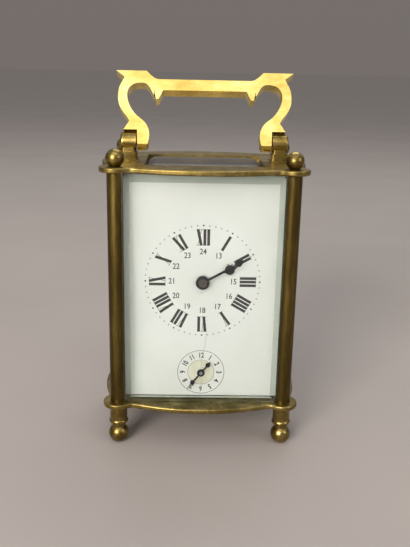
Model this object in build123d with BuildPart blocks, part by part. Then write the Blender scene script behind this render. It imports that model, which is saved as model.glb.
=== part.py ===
from build123d import *
import os
from math import acos, atan2, cos, degrees, pi, radians, sin, sqrt, tan

os.makedirs("parts", exist_ok=True)

# A brass officer clock with an alarm: a travelling clock in a glazed brass case.
# Millimetres. The origin is on the table under the middle of the case.
# X runs to the right of the dial, Y to the back and Z up.

# Case: four round columns between two plates with bowed sides
column_spacing_x = 68.5
column_spacing_y = 43.0
column_radius = 3.3
column_length = 95.2
plate_thickness = 2.1
lobe_radius = 6.2
front_bow = 9.2
front_bow_start = 2.9
side_bow = 7.0
side_bow_start = 3.4
bow_inset = 4.0
dip_radius = 4.0
rim_rounding = 0.6
thread_radius = 1.5
thread_depth = 7.0
fixed_clearance = 0.05
thread_end_gap = 0.5

# Feet and finials
foot_ball_radius = 4.2
foot_flat_depth = 0.1
foot_neck_radius = 2.7
foot_neck_height = 1.7
foot_ring_radius = 3.95
foot_ring_height = 1.8
foot_collar_radius = 3.55
foot_collar_height = 6.3
finial_radius = 3.6
finial_centre_height = 3.05

# Glass: panes with a wide bevel, their edges held in grooves
pane_edge = 1.0
bevel_depth = 0.8
bevel_width = 3.0
pane_setting = 2.3
pane_edge_inset = 1.2
pane_groove_depth = 1.0
pane_clearance = 0.05
pane_border = 1.35
window_width = 47.0
window_depth = 33.0
window_ledge = 1.5
window_ledge_height = 1.2
top_pane_edge = 1.6
clip_length = 5.0
clip_reach = 1.6
clip_thickness = 0.5
clip_foot = 2.0

# Handle and its brackets
bracket_x = 30.6
bracket_width = 7.4
bracket_depth = 9.5
bracket_height = 3.3
bracket_step = 0.7
bracket_neck_width = 5.2
bracket_neck_depth = 5.6
knuckle_radius = 3.6
knuckle_inner_x = 27.5
knuckle_length = 6.4
knuckle_rounding = 1.0
pivot_height = 7.2
bracket_stud_radius = 1.2
bracket_nut_height = 1.4
bracket_nut_radius = 2.3
handle_thickness = 6.0
handle_lean = 27.0
handle_foot_radius = 3.7
handle_pin_radius = 1.3
handle_pin_length = 9.0
handle_clearance = 0.25
running = 0.05
end_gap = 0.1
end_shake = 0.2

# Rear door
door_gap = 0.65
door_head_gap = 0.3
door_thickness = 2.6
door_rail = 4.3
door_rebate = 1.0
door_rebate_depth = 1.5
door_pin_radius = 0.9
door_pin_inset = 1.6
door_pin_grip = 4.0
door_pin_reach = 1.5
latch_inset = 2.2
latch_knob_radius = 2.4
latch_knob_height = 4.6
latch_shaft_radius = 0.9
latch_tongue_reach = 4.4
latch_tongue_width = 2.2
latch_tongue_thickness = 0.9
latch_slot_gap = 0.35
latch_slot_height = 6.2

# Dial and hands
dial_setback = 4.0
dial_thickness = 1.4
dial_width = 64.0
dial_foot_gap = 0.6
dial_top_gap = 1.8
main_height = 50.9
alarm_height = 11.2
dial_hole_radius = 2.0
alarm_hole_radius = 0.9
dial_foot_radius = 1.0
dial_foot_x = 23.5
dial_foot_low = 13.8
dial_foot_high = 59.8
hand_thickness = 0.4
hour_hand_standoff = 0.8
hand_spacing = 0.8
minute_hand_length = 22.4
hour_hand_length = 14.6
hand_hub_radius = 2.8
hour_hub_radius = 2.6
hour_disc_place = 12.0
hour_disc_radius = 2.0
minute_disc_place = 16.5
minute_disc_radius = 1.5
hand_width = 1.1
hand_nut_radius = 1.65
hand_nut_height = 0.7
minute_angle = 59.2
hour_angle = 64.0
alarm_angle = 218.6
alarm_hand_length = 9.3
alarm_tail_length = 6.0
alarm_hub_radius = 1.6
alarm_hand_width = 0.6
alarm_body_radius = 1.2
alarm_button_radius = 2.8
alarm_button_gap = 3.2

# Movement: two brass plates, four pillars
movement_width = 52.0
movement_height = 74.8
movement_plate = 1.8
movement_front = 5.5
movement_gap = 17.2
pillar_x = 22.5
pillar_low = 4.8
pillar_high = 6.0
pillar_radius = 2.0
pillar_thread = 3.5
thread_gap = 0.3
screw_slot_width = 0.45
slot_depth = 0.35
screw_radius = 1.1
screw_head_radius = 2.1
screw_head_height = 1.0
small_screw_radius = 0.6
small_head_radius = 1.3
small_head_height = 0.8
mounting_x = 18.0
mounting_depth = 5.0

# Wheels: tooth numbers and modules
tooth_fullness = 0.8
addendum = 0.8
dedendum = 1.1
pressure_angle = 20.0
great_teeth = 60
great_module = 0.5
centre_pinion_teeth = 10
centre_teeth = 64
centre_module = 0.36
third_pinion_teeth = 8
third_teeth = 60
third_module = 0.3
contrate_pinion_teeth = 8
contrate_teeth = 70
contrate_module = 0.24
escape_pinion_teeth = 7
cannon_teeth = 12
minute_wheel_teeth = 36
motion_module = 0.4
minute_pinion_teeth = 10
hour_teeth = 40
idler_teeth = 64
alarm_great_teeth = 38
alarm_pinion_teeth = 8
alarm_module = 0.5
wheel_thickness = 0.9
pinion_extra = 0.3
layer_gap = 0.6
stud_gap = 0.4
wheel_stud_radius = 0.7
motion_setback = 1.6
motion_thickness = 0.72
cannon_thickness = 1.1
wheel_hub = 2.0
centre_body_radius = 0.9
centre_wheel_gap = 3.0
hand_square = 0.84
arbor_radius = 0.7
pivot_radius = 0.4
centre_arbor_radius = 0.6
cannon_pipe_radius = 1.05
hour_pipe_radius = 1.6
spoke_width = 1.4
rim_width = 1.6

# Barrels
great_thickness = 1.3
barrel_angle = 233.9
drum_radius = 13.3
drum_wall = 0.8
cover_thickness = 0.9
drum_height = 9.9
winding_radius = 1.5
winding_hub_radius = 3.0
winding_square = 2.4
winding_reach = 5.4
spring_thickness = 0.45
spring_turns = 7
spring_gap = 0.25
ratchet_teeth = 20
ratchet_radius = 5.0
ratchet_depth = 0.8
ratchet_thickness = 1.0
ratchet_gap = 0.15
click_distance = 8.6
click_width = 1.6
click_spring_width = 0.35
alarm_barrel_x = 12.5
alarm_barrel_height = 18.8
alarm_drum_radius = 8.0
alarm_drum_height = 7.8
alarm_escape_angle = 67.0
alarm_escape_teeth = 18
alarm_escape_radius = 5.0
alarm_escape_depth = 1.1
alarm_escape_gap = 3.4
tooth_lean = 0.05

# Platform escapement, laid flat on top of the movement plates
contrate_x = 4.0
contrate_drop = 10.1
platform_thickness = 1.2
platform_left = -16.0
platform_right = 12.0
crown_height = 0.7
crown_width = 0.9
crown_share = 0.34
crown_depth = 0.2
crown_ledge = 0.3
crown_disc_thickness = 0.63
contrate_layer = 5.2
escape_pinion_reach = 1.1
escape_pinion_top = 0.6
escape_pivot = 0.25
escape_arbor_radius = 0.4
pivot_depth = 0.7
potence_gap = 0.4
potence_thickness = 0.9
potence_setback = 3.4
potence_width = 2.4
potence_depth = 2.0
potence_arm_width = 1.8
escape_teeth = 15
escape_radius = 3.6
escape_lift = 0.8
escape_thickness = 0.4
lever_distance = 4.3
lever_clearance = 0.4
balance_distance = 9.7
balance_radius = 6.2
balance_rim = 0.8
balance_thickness = 0.7
balance_lift = 3.4
balance_screws = 12
balance_screw_radius = 0.3
balance_screw_length = 0.6
balance_arm_width = 0.9
balance_hub_radius = 1.0
roller_radius = 1.3
roller_thickness = 0.4
hairspring_turns = 6
hairspring_pitch = 0.42
hairspring_start = 1.0
hairspring_thickness = 0.12
hairspring_height = 0.3
hairspring_lift = 0.4
cock_lift = 5.6
cock_thickness = 1.0
cock_width = 3.6
cock_foot = 3.0
cock_foot_gap = 2.4
cock_foot_width = 5.6
cock_boss_height = 0.6
cock_boss_radius = 1.2
bridge_lift = 1.0
bridge_thickness = 0.8
bridge_finger_width = 1.8
bridge_foot = 2.4
bridge_reach = 6.4
regulator_length = 6.5
regulator_width = 0.6
regulator_ring = 0.9
regulator_tail = 2.8
regulator_thickness = 0.4

# Alarm work
hammer_x = 20.5
hammer_drop = 39.2
hammer_length = 23.4
hammer_lean = 7.4
hammer_head_radius = 1.5
hammer_head_length = 3.0
hammer_head_lead = 0.4
hammer_boss_radius = 1.4
hammer_arm_gap = 1.2
hammer_arm_width = 1.2
hammer_arm_thickness = 1.0
bell_x = 11.0
bell_drop = 13.0
bell_radius = 10.0
bell_depth = 6.2
bell_wall = 0.8
bell_standoff = 1.5
bell_shoulder_out = 0.78
bell_shoulder_up = 0.7
bell_nut_radius = 2.1
bell_nut_height = 1.1
bell_post_radius = 1.8
bell_post_gap = 0.3

# Places worked out from the sizes above
hour_module = motion_module * (cannon_teeth + minute_wheel_teeth) / (minute_pinion_teeth + hour_teeth)
column_x = column_spacing_x / 2
column_y = column_spacing_y / 2
foot_centre = foot_ball_radius - foot_flat_depth
foot_neck_z = foot_centre + sqrt(foot_ball_radius**2 - foot_neck_radius**2)
foot_ring_z = foot_neck_z + foot_neck_height
foot_collar_z = foot_ring_z + foot_ring_height
base_bottom = foot_collar_z + foot_collar_height
base_top = base_bottom + plate_thickness
top_bottom = base_top + column_length
top_top = top_bottom + plate_thickness
pane_low = base_top - pane_groove_depth
pane_high = top_bottom + pane_groove_depth - pane_clearance
dial_front = -column_y + dial_setback
dial_back = dial_front + dial_thickness
main_z = base_top + main_height
alarm_z = base_top + alarm_height
front_plate_front = dial_front + movement_front
front_plate_back = front_plate_front + movement_plate
rear_plate_front = front_plate_back + movement_gap
rear_plate_back = rear_plate_front + movement_plate
movement_top = base_top + movement_height
corners = [(x, y) for x in (-column_x, column_x) for y in (-column_y, column_y)]


def save(piece, label):
    """Name a finished piece and write it to its own file."""
    piece.part.label = label
    export_step(piece.part, f"parts/{label}.step")


def facing(x, y, z):
    """A plane that faces the front of the clock, with its origin at a point."""
    return Plane(origin=(x, y, z), x_dir=(1, 0, 0), z_dir=(0, -1, 0))


def rod(place, y_front, y_back, radius, mode=Mode.ADD):
    """A round length along Y, centred on a place (x, z), from front to back."""
    with BuildSketch(facing(place[0], y_back, place[1])) as disc:
        Circle(radius)
    extrude(disc.sketch, amount=y_back - y_front, mode=mode)


def post(place, low, high, radius, mode=Mode.ADD):
    """A round length along Z, centred on a place (x, y)."""
    with BuildSketch(Plane.XY.offset(low)) as disc:
        with Locations(place):
            Circle(radius)
    extrude(disc.sketch, amount=high - low, mode=mode)


def meeting_point(first, first_distance, second, second_distance, side):
    """Where two circles cross, on the side that the sign gives."""
    dx, dz = second[0] - first[0], second[1] - first[1]
    gap = sqrt(dx * dx + dz * dz)
    along = (first_distance**2 - second_distance**2 + gap * gap) / (2 * gap)
    across = side * sqrt(first_distance**2 - along**2)
    return (first[0] + (along * dx - across * dz) / gap, first[1] + (along * dz + across * dx) / gap)


def direction(start, end):
    """The direction from one place to another, in degrees from the first axis."""
    return degrees(atan2(end[1] - start[1], end[0] - start[0]))


def tooth_half_angle(radius, teeth, module):
    """Half the angle that an involute tooth fills at a radius, in radians."""
    pressure = radians(pressure_angle)
    base_radius = teeth * module / 2 * cos(pressure)
    roll = acos(min(1.0, base_radius / radius))
    return (pi / (2 * teeth) * tooth_fullness
            + (tan(pressure) - pressure) - (tan(roll) - roll))


def wheel_outline(teeth, module, tooth_at, levels=2):
    """The outline of a spur wheel with one tooth at an angle in degrees."""
    root = teeth * module / 2 - dedendum * module
    tip = teeth * module / 2 + addendum * module
    rising = [root + (tip - root) * step / levels for step in range(levels + 1)]
    points = []
    for tooth in range(teeth):
        middle = radians(tooth_at) + 2 * pi * tooth / teeth
        for radius in rising:
            angle = middle - tooth_half_angle(radius, teeth, module)
            points.append((radius * cos(angle), radius * sin(angle)))
        for radius in reversed(rising):
            angle = middle + tooth_half_angle(radius, teeth, module)
            points.append((radius * cos(angle), radius * sin(angle)))
    return points


def spur(place, y_front, thickness, teeth, module, tooth_at, bore=0.0, spokes=0, hub=0.0):
    """A spur wheel or pinion, solid or crossed out with spokes."""
    with BuildSketch(facing(place[0], y_front + thickness, place[1])) as face:
        Polygon(*wheel_outline(teeth, module, tooth_at), align=None)
        if spokes:
            inner = teeth * module / 2 - dedendum * module - rim_width
            Circle(inner, mode=Mode.SUBTRACT)
            Circle(hub)
            with PolarLocations(inner / 2, spokes):
                Rectangle(inner + rim_width / 2, spoke_width)
        if bore:
            Circle(bore, mode=Mode.SUBTRACT)
    extrude(face.sketch, amount=thickness)


def meshed(start, end, teeth, start_teeth=1, tooth_at=None):
    """The tooth angle of a wheel that meets the one before it with a gap round its tooth."""
    turned = 0 if tooth_at is None else tooth_at - direction(start, end)
    return direction(end, start) + 180 / teeth - turned * start_teeth / teeth


def spiral(place, y_front, height, start_radius, pitch, turns, thickness):
    """A flat coiled spring as half rings, each a little wider than the last."""
    radius = start_radius
    shift = 0.0
    for half in range(2 * turns):
        side = 1 if half % 2 == 0 else -1
        with BuildSketch(facing(place[0], y_front + height, place[1])) as strip:
            with Locations((shift, 0)):
                Circle(radius + thickness / 2)
                Circle(radius - thickness / 2, mode=Mode.SUBTRACT)
            with Locations((shift, -side * 2 * radius)):
                Rectangle(6 * radius, 4 * radius, mode=Mode.SUBTRACT)
        extrude(strip.sketch, amount=height)
        radius += pitch / 2
        shift += side * pitch / 2


# Plates


def plate_outline():
    """The outline of both plates: bowed sides and a round lobe at each corner."""
    front_x = column_x - bow_inset
    front_y = column_y + front_bow_start
    side_x = column_x + side_bow_start
    side_y = column_y - bow_inset
    with BuildSketch() as outline:
        with BuildLine():
            ThreePointArc((-front_x, -front_y), (0, -column_y - front_bow), (front_x, -front_y))
            Line((front_x, -front_y), (side_x, -side_y))
            ThreePointArc((side_x, -side_y), (column_x + side_bow, 0), (side_x, side_y))
            Line((side_x, side_y), (front_x, front_y))
            ThreePointArc((front_x, front_y), (0, column_y + front_bow), (-front_x, front_y))
            Line((-front_x, front_y), (-side_x, side_y))
            ThreePointArc((-side_x, side_y), (-column_x - side_bow, 0), (-side_x, -side_y))
            Line((-side_x, -side_y), (-front_x, -front_y))
        make_face()
        with Locations(*corners):
            Circle(lobe_radius)
        fillet(outline.vertices(), radius=dip_radius)
    return outline.sketch


pane_front_y = -column_y - pane_setting
pane_side_x = column_x + pane_setting
front_pane_width = 2 * (column_x - pane_edge_inset)
side_pane_width = 2 * (column_y - pane_edge_inset)
groove_width = pane_edge + 2 * pane_clearance


def cut_pane_grooves(z_start, depth):
    """Grooves for the front pane and the two side panes, cut upwards from a level."""
    with BuildSketch(Plane.XY.offset(z_start)) as grooves:
        with Locations((0, pane_front_y + pane_edge / 2)):
            Rectangle(front_pane_width + 2 * pane_clearance, groove_width)
        with Locations((pane_side_x - pane_edge / 2, 0), (-pane_side_x + pane_edge / 2, 0)):
            Rectangle(groove_width, side_pane_width + 2 * pane_clearance)
    extrude(grooves.sketch, amount=depth, mode=Mode.SUBTRACT)


door_half_width = column_x - column_radius - door_gap
door_y = column_y
door_pin_x = -door_half_width + door_pin_inset
mounting_places = [(x, y) for x in (-mounting_x, mounting_x)
                   for y in ((front_plate_front + front_plate_back) / 2,
                             (rear_plate_front + rear_plate_back) / 2)]

with BuildPart() as base_plate:
    with BuildSketch(Plane.XY.offset(base_bottom)):
        add(plate_outline())
    extrude(amount=plate_thickness)
    fillet(base_plate.faces().sort_by(Axis.Z)[-1].edges(), radius=rim_rounding)
    fillet(base_plate.faces().sort_by(Axis.Z)[0].edges(), radius=rim_rounding)
    for corner in corners:
        post(corner, base_bottom, base_top, thread_radius + fixed_clearance, Mode.SUBTRACT)
    for place in mounting_places:
        post(place, base_bottom, base_top, small_screw_radius, Mode.SUBTRACT)
    post((door_pin_x, door_y), base_top - door_pin_reach - door_head_gap, base_top,
         door_pin_radius + running, Mode.SUBTRACT)
    cut_pane_grooves(pane_low, pane_groove_depth)
save(base_plate, "base_plate")

rebate_top = top_top - window_ledge_height
with BuildPart() as top_plate:
    with BuildSketch(Plane.XY.offset(top_bottom)):
        add(plate_outline())
    extrude(amount=plate_thickness)
    fillet(top_plate.faces().sort_by(Axis.Z)[-1].edges(), radius=rim_rounding)
    fillet(top_plate.faces().sort_by(Axis.Z)[0].edges(), radius=rim_rounding)
    with BuildSketch(Plane.XY.offset(top_bottom)):
        Rectangle(window_width, window_depth)
    extrude(amount=plate_thickness, mode=Mode.SUBTRACT)
    with BuildSketch(Plane.XY.offset(top_bottom)):
        Rectangle(window_width + 2 * window_ledge, window_depth + 2 * window_ledge)
    extrude(amount=rebate_top - top_bottom, mode=Mode.SUBTRACT)
    for corner in corners:
        post(corner, top_bottom, top_top, thread_radius + fixed_clearance, Mode.SUBTRACT)
    for side in (-1, 1):
        post((side * bracket_x, 0), top_bottom, top_top,
             bracket_stud_radius + fixed_clearance, Mode.SUBTRACT)
    post((door_pin_x, door_y), top_bottom, top_bottom + door_pin_reach + door_head_gap,
         door_pin_radius + running, Mode.SUBTRACT)
    cut_pane_grooves(top_bottom, pane_groove_depth)
save(top_plate, "top_plate")

# Columns: round brass rods, threaded at both ends and grooved for the glass

latch_z = (base_top + top_bottom) / 2
latch_x = door_half_width - latch_inset
tongue_back = door_y - door_thickness / 2 - end_gap


def make_column(x_side, y_side):
    """One corner column, with its grooves facing its neighbours."""
    centre = (x_side * column_x, y_side * column_y)
    with BuildPart() as column:
        post(centre, base_top, top_bottom, column_radius)
        hole = thread_depth + thread_end_gap
        post(centre, base_top, base_top + hole, thread_radius + fixed_clearance, Mode.SUBTRACT)
        post(centre, top_bottom - hole, top_bottom, thread_radius + fixed_clearance, Mode.SUBTRACT)
        inner_end = pane_edge_inset - pane_clearance
        with BuildSketch(Plane.XY.offset(base_top)) as grooves:
            side_length = column_radius - inner_end + fixed_clearance
            with Locations((x_side * (pane_side_x - pane_edge / 2),
                            y_side * (column_y - inner_end - side_length / 2))):
                Rectangle(groove_width, side_length)
            if y_side < 0:
                with Locations((x_side * (column_x - inner_end - side_length / 2),
                                pane_front_y + pane_edge / 2)):
                    Rectangle(side_length, groove_width)
        extrude(grooves.sketch, amount=column_length, mode=Mode.SUBTRACT)
        if x_side > 0 and y_side > 0:
            slot_y = tongue_back - latch_tongue_thickness / 2
            slot_end = latch_x + latch_tongue_reach + latch_slot_gap
            latch_slot_width = 2 * latch_slot_gap + latch_tongue_thickness
            with BuildSketch(Plane.XY.offset(latch_z - latch_tongue_width)) as slot:
                with Locations((slot_end - column_radius, slot_y)):
                    Rectangle(2 * column_radius, latch_slot_width)
            extrude(slot.sketch, amount=latch_slot_height, mode=Mode.SUBTRACT)
    return column


for x_name, x_side in (("left", -1), ("right", 1)):
    for y_name, y_side in (("front", -1), ("rear", 1)):
        column = make_column(x_side, y_side)
        save(column, f"column_{y_name}_{x_name}")

# Feet: turned brass with a ball, a ring and a collar, and a stud up into the column

with BuildPart() as one_foot:
    with BuildSketch(Plane.XZ):
        with BuildLine():
            flat = sqrt(foot_ball_radius**2 - foot_centre**2)
            ball_angle = degrees(acos(foot_neck_radius / foot_ball_radius))
            bulge = (foot_ball_radius * cos(radians(ball_angle / 8)),
                     foot_centre + foot_ball_radius * sin(radians(ball_angle / 8)))
            ring_middle = foot_ring_z + foot_ring_height / 2
            stud_top = base_top + thread_depth
            Line((0, 0), (flat, 0))
            ThreePointArc((flat, 0), bulge, (foot_neck_radius, foot_neck_z))
            Line((foot_neck_radius, foot_neck_z), (foot_neck_radius, foot_ring_z))
            Line((foot_neck_radius, foot_ring_z), (foot_collar_radius, foot_ring_z))
            ThreePointArc((foot_collar_radius, foot_ring_z), (foot_ring_radius, ring_middle),
                          (foot_collar_radius, foot_collar_z))
            Polyline((foot_collar_radius, foot_collar_z), (foot_collar_radius, base_bottom),
                     (thread_radius, base_bottom), (thread_radius, stud_top), (0, stud_top), (0, 0))
        make_face()
    revolve(axis=Axis.Z)

with BuildPart() as feet:
    with Locations(*corners):
        add(one_foot.part)
save(feet, "feet")

# Finials: plain brass balls that screw down through the top plate into the columns

with BuildPart() as one_finial:
    with BuildSketch(Plane.XZ):
        with BuildLine():
            centre_z = top_top + finial_centre_height
            seat = sqrt(finial_radius**2 - finial_centre_height**2)
            stud_low = top_bottom - thread_depth
            ThreePointArc((seat, top_top), (finial_radius, centre_z), (0, centre_z + finial_radius))
            Polyline((0, centre_z + finial_radius), (0, stud_low), (thread_radius, stud_low),
                     (thread_radius, top_top), (seat, top_top))
        make_face()
    revolve(axis=Axis.Z)

with BuildPart() as finials:
    with Locations(*corners):
        add(one_finial.part)
save(finials, "finials")

# Glass panes


def pane(plane, width, height, edge, border):
    """A bevelled pane: a plain slab with a border, and a raised middle with sloping sides."""
    with BuildSketch(plane) as slab:
        Rectangle(width, height)
    extrude(slab.sketch, amount=edge)
    with BuildSketch(plane.offset(edge)) as wide:
        Rectangle(width - 2 * border, height - 2 * border)
    with BuildSketch(plane.offset(edge + bevel_depth)) as narrow:
        inset = border + bevel_width
        Rectangle(width - 2 * inset, height - 2 * inset)
    loft([wide.sketch, narrow.sketch])


pane_middle = (pane_low + pane_high) / 2
pane_height = pane_high - pane_low

with BuildPart() as front_glass:
    pane(facing(0, pane_front_y + pane_edge, pane_middle), front_pane_width, pane_height, pane_edge,
         pane_border)
save(front_glass, "front_glass")

with BuildPart() as side_glasses:
    for side in (-1, 1):
        outward = Plane(origin=(side * (pane_side_x - pane_edge), 0, pane_middle),
                        x_dir=(0, side, 0), z_dir=(side, 0, 0))
        pane(outward, side_pane_width, pane_height, pane_edge, pane_border)
save(side_glasses, "side_glasses")

top_pane_width = window_width + 2 * window_ledge - 2 * pane_clearance
top_pane_depth = window_depth + 2 * window_ledge - 2 * pane_clearance
with BuildPart() as top_glass:
    pane(Plane.XY.offset(rebate_top - top_pane_edge), top_pane_width, top_pane_depth, top_pane_edge,
         window_ledge + pane_clearance)
save(top_glass, "top_glass")

# Clips: four bent brass tongues that hold the top pane up in its rebate

clip_z = rebate_top - top_pane_edge - clip_thickness
with BuildPart() as top_glass_clips:
    for side in (-1, 1):
        for along in (-1, 1):
            middle_y = along * window_depth / 4
            edge_x = window_width / 2 + window_ledge
            with BuildSketch(Plane.XY.offset(clip_z)) as tongue:
                with Locations((side * (edge_x + (clip_foot - clip_reach) / 2), middle_y)):
                    Rectangle(clip_foot + clip_reach, clip_length)
            extrude(tongue.sketch, amount=clip_thickness)
            with BuildSketch(Plane.XY.offset(clip_z)) as heel:
                with Locations((side * (edge_x + clip_foot / 2), middle_y)):
                    Rectangle(clip_foot, clip_length)
            extrude(heel.sketch, amount=top_bottom - clip_z)
save(top_glass_clips, "top_glass_clips")

# Handle brackets: a stepped block, a neck and a round knuckle bored for the pivot pin

pivot_z = top_top + pivot_height
nut_low = top_bottom - bracket_nut_height
with BuildPart() as handle_brackets:
    for side in (-1, 1):
        with BuildSketch(Plane.XY.offset(top_top)) as foot_block:
            with Locations((side * bracket_x, 0)):
                Rectangle(bracket_width, bracket_depth)
        extrude(foot_block.sketch, amount=bracket_step)
        with BuildSketch(Plane.XY.offset(top_top + bracket_step)) as block:
            with Locations((side * bracket_x, 0)):
                RectangleRounded(bracket_width - bracket_step, bracket_depth - bracket_step, bracket_step)
        extrude(block.sketch, amount=bracket_height - bracket_step)
        with BuildSketch(Plane.XY.offset(top_top + bracket_height)) as neck:
            with Locations((side * bracket_x, 0)):
                RectangleRounded(bracket_neck_width, bracket_neck_depth, bracket_step)
        extrude(neck.sketch, amount=pivot_height - bracket_height)
        with BuildSketch(Plane.YZ.offset(side * knuckle_inner_x)) as barrel:
            with Locations((0, pivot_z)):
                Circle(knuckle_radius)
        extrude(barrel.sketch, amount=side * knuckle_length)
        with BuildSketch(Plane.YZ.offset(side * knuckle_inner_x)) as bore:
            with Locations((0, pivot_z)):
                Circle(handle_pin_radius + running)
        extrude(bore.sketch, amount=side * (knuckle_length - knuckle_rounding), mode=Mode.SUBTRACT)
        post((side * bracket_x, 0), nut_low, top_top, bracket_stud_radius)
    ends = handle_brackets.edges().filter_by(GeomType.CIRCLE).filter_by(
        lambda edge: abs(edge.radius - knuckle_radius) < 0.01
        and abs(abs(edge.center().X) - knuckle_inner_x - knuckle_length) < 0.01)
    fillet(ends, radius=knuckle_rounding)
save(handle_brackets, "handle_brackets")

with BuildPart() as bracket_nuts:
    for side in (-1, 1):
        with BuildSketch(Plane.XY.offset(nut_low)) as nut:
            with Locations((side * bracket_x, 0)):
                RegularPolygon(bracket_nut_radius, 6)
                Circle(bracket_stud_radius, mode=Mode.SUBTRACT)
        extrude(nut.sketch, amount=bracket_nut_height)
save(bracket_nuts, "bracket_nuts")

# Handle: sawn from flat brass, with horned shoulders, curled hooks and feet that turn on pins

handle_plane = Plane(origin=(0, 0, pivot_z), x_dir=(1, 0, 0),
                     z_dir=(0, -cos(radians(handle_lean)), sin(radians(handle_lean))))
ledge_height = knuckle_radius + handle_clearance
leg_outer_x = knuckle_inner_x - handle_clearance
bar_top = 25.7
bar_bottom = 21.0
horn_top = 29.3


def handle_outline():
    """Half of the handle's outline on its own plane, from the bar to the foot and back."""
    with BuildSketch() as half:
        with BuildLine():
            Polyline((0, bar_bottom), (0, bar_top), (18.6, bar_top))
            Spline((18.6, bar_top), (21.4, bar_top + 1.1), (24.0, horn_top),
                   tangents=((1, 0), (0.7, 0.7)))
            Line((24.0, horn_top), (36.4, horn_top))
            Line((36.4, horn_top), (32.9, 26.6))
            Spline((32.9, 26.6), (34.6, 22.9), (35.3, 18.9), (34.7, 14.3), (32.8, 11.0), (30.5, 7.6),
                   tangents=((0.3, -1), (-0.5, -1)))
            Spline((30.5, 7.6), (31.4, 6.0), (32.8, ledge_height), tangents=((0.3, -1), (0.7, -0.7)))
            Polyline((32.8, ledge_height), (leg_outer_x, ledge_height),
                     (leg_outer_x - 0.3, -handle_foot_radius), (24.8, -handle_foot_radius))
            Spline((24.8, -handle_foot_radius), (22.6, -0.9), (22.4, 2.8), (24.2, 7.0), (27.2, 9.6),
                   (30.0, 13.2), (31.5, 17.5), (31.2, 21.2), (29.2, 23.4), (26.0, 24.1),
                   (22.8, 22.5), (20.7, 19.4), (19.9, 16.9),
                   tangents=((-1, 0.2), (-0.2, -1)))
            Line((19.9, 16.9), (18.7, 17.3))
            Spline((18.7, 17.3), (17.8, 19.2), (16.8, bar_bottom), tangents=((-0.2, 1), (-0.8, 0.4)))
            Line((16.8, bar_bottom), (0, bar_bottom))
        make_face()
    return half.sketch


with BuildPart() as handle:
    with BuildSketch(handle_plane) as whole:
        add(handle_outline())
        mirror(about=Plane.YZ)
    extrude(whole.sketch, amount=handle_thickness / 2, both=True)
    for side in (-1, 1):
        bore_plane = Plane(origin=(side * leg_outer_x, 0, pivot_z), x_dir=(0, 1, 0), z_dir=(-side, 0, 0))
        with BuildSketch(bore_plane) as pin_hole:
            Circle(handle_pin_radius)
        extrude(pin_hole.sketch, amount=handle_pin_length / 3, mode=Mode.SUBTRACT)
        # The end of each foot is rounded about the pivot, so that it turns clear of its bracket.
        rounding_plane = Plane(origin=(side * leg_outer_x, 0, pivot_z), x_dir=handle_plane.z_dir,
                               z_dir=(-1, 0, 0))
        with BuildSketch(rounding_plane) as round_end:
            with Locations((0, handle_foot_radius if rounding_plane.y_dir.Z < 0
                            else -handle_foot_radius)):
                Rectangle(2 * handle_thickness, 2 * handle_foot_radius)
            Circle(handle_foot_radius, mode=Mode.SUBTRACT)
        extrude(round_end.sketch, amount=handle_thickness, both=True, mode=Mode.SUBTRACT)
save(handle, "handle")

with BuildPart() as handle_pins:
    for side in (-1, 1):
        with BuildSketch(Plane.YZ.offset(side * (leg_outer_x - handle_pin_length / 3))) as pin:
            with Locations((0, pivot_z)):
                Circle(handle_pin_radius)
        extrude(pin.sketch, amount=side * (handle_pin_length / 3 + knuckle_length
                                           - knuckle_rounding - handle_clearance))
save(handle_pins, "handle_pins")

# Rear door: a flat frame with a bevelled pane, hung on two pins

door_low = base_top + door_head_gap
door_high = top_bottom - door_head_gap
door_middle = (door_low + door_high) / 2
door_height = door_high - door_low
door_front = door_y - door_thickness / 2
door_back = door_y + door_thickness / 2

with BuildPart() as door_frame:
    with BuildSketch(facing(0, door_back, door_middle)):
        Rectangle(2 * door_half_width, door_height)
        Rectangle(2 * (door_half_width - door_rail), door_height - 2 * door_rail, mode=Mode.SUBTRACT)
    extrude(amount=door_thickness)
    with BuildSketch(facing(0, door_front + door_rebate_depth, door_middle)):
        Rectangle(2 * (door_half_width - door_rail + door_rebate),
                  door_height - 2 * (door_rail - door_rebate))
    extrude(amount=door_rebate_depth, mode=Mode.SUBTRACT)
    hinge_edges = door_frame.edges().filter_by(Axis.Z).group_by(Axis.X)[0]
    fillet(hinge_edges, radius=door_thickness / 2 - 0.1)
    post((door_pin_x, door_y), door_low, door_low + door_pin_grip, door_pin_radius, Mode.SUBTRACT)
    post((door_pin_x, door_y), door_high - door_pin_grip, door_high, door_pin_radius, Mode.SUBTRACT)
    rod((latch_x, latch_z), door_front, door_back, latch_shaft_radius + running, Mode.SUBTRACT)
save(door_frame, "door_frame")

with BuildPart() as door_glass:
    inward_edge = door_front + door_rebate_depth
    outward = Plane(origin=(0, inward_edge - pane_edge, door_middle), x_dir=(-1, 0, 0), z_dir=(0, 1, 0))
    pane(outward, 2 * (door_half_width - door_rail + door_rebate - pane_clearance),
         door_height - 2 * (door_rail - door_rebate + pane_clearance), pane_edge, pane_border)
save(door_glass, "door_glass")

with BuildPart() as door_pins:
    post((door_pin_x, door_y), base_top - door_pin_reach, door_low + door_pin_grip, door_pin_radius)
    post((door_pin_x, door_y), door_high - door_pin_grip, top_bottom + door_pin_reach, door_pin_radius)
save(door_pins, "door_pins")

# Door latch: a turned knob outside and a flat tongue inside, on one short shaft

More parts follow.
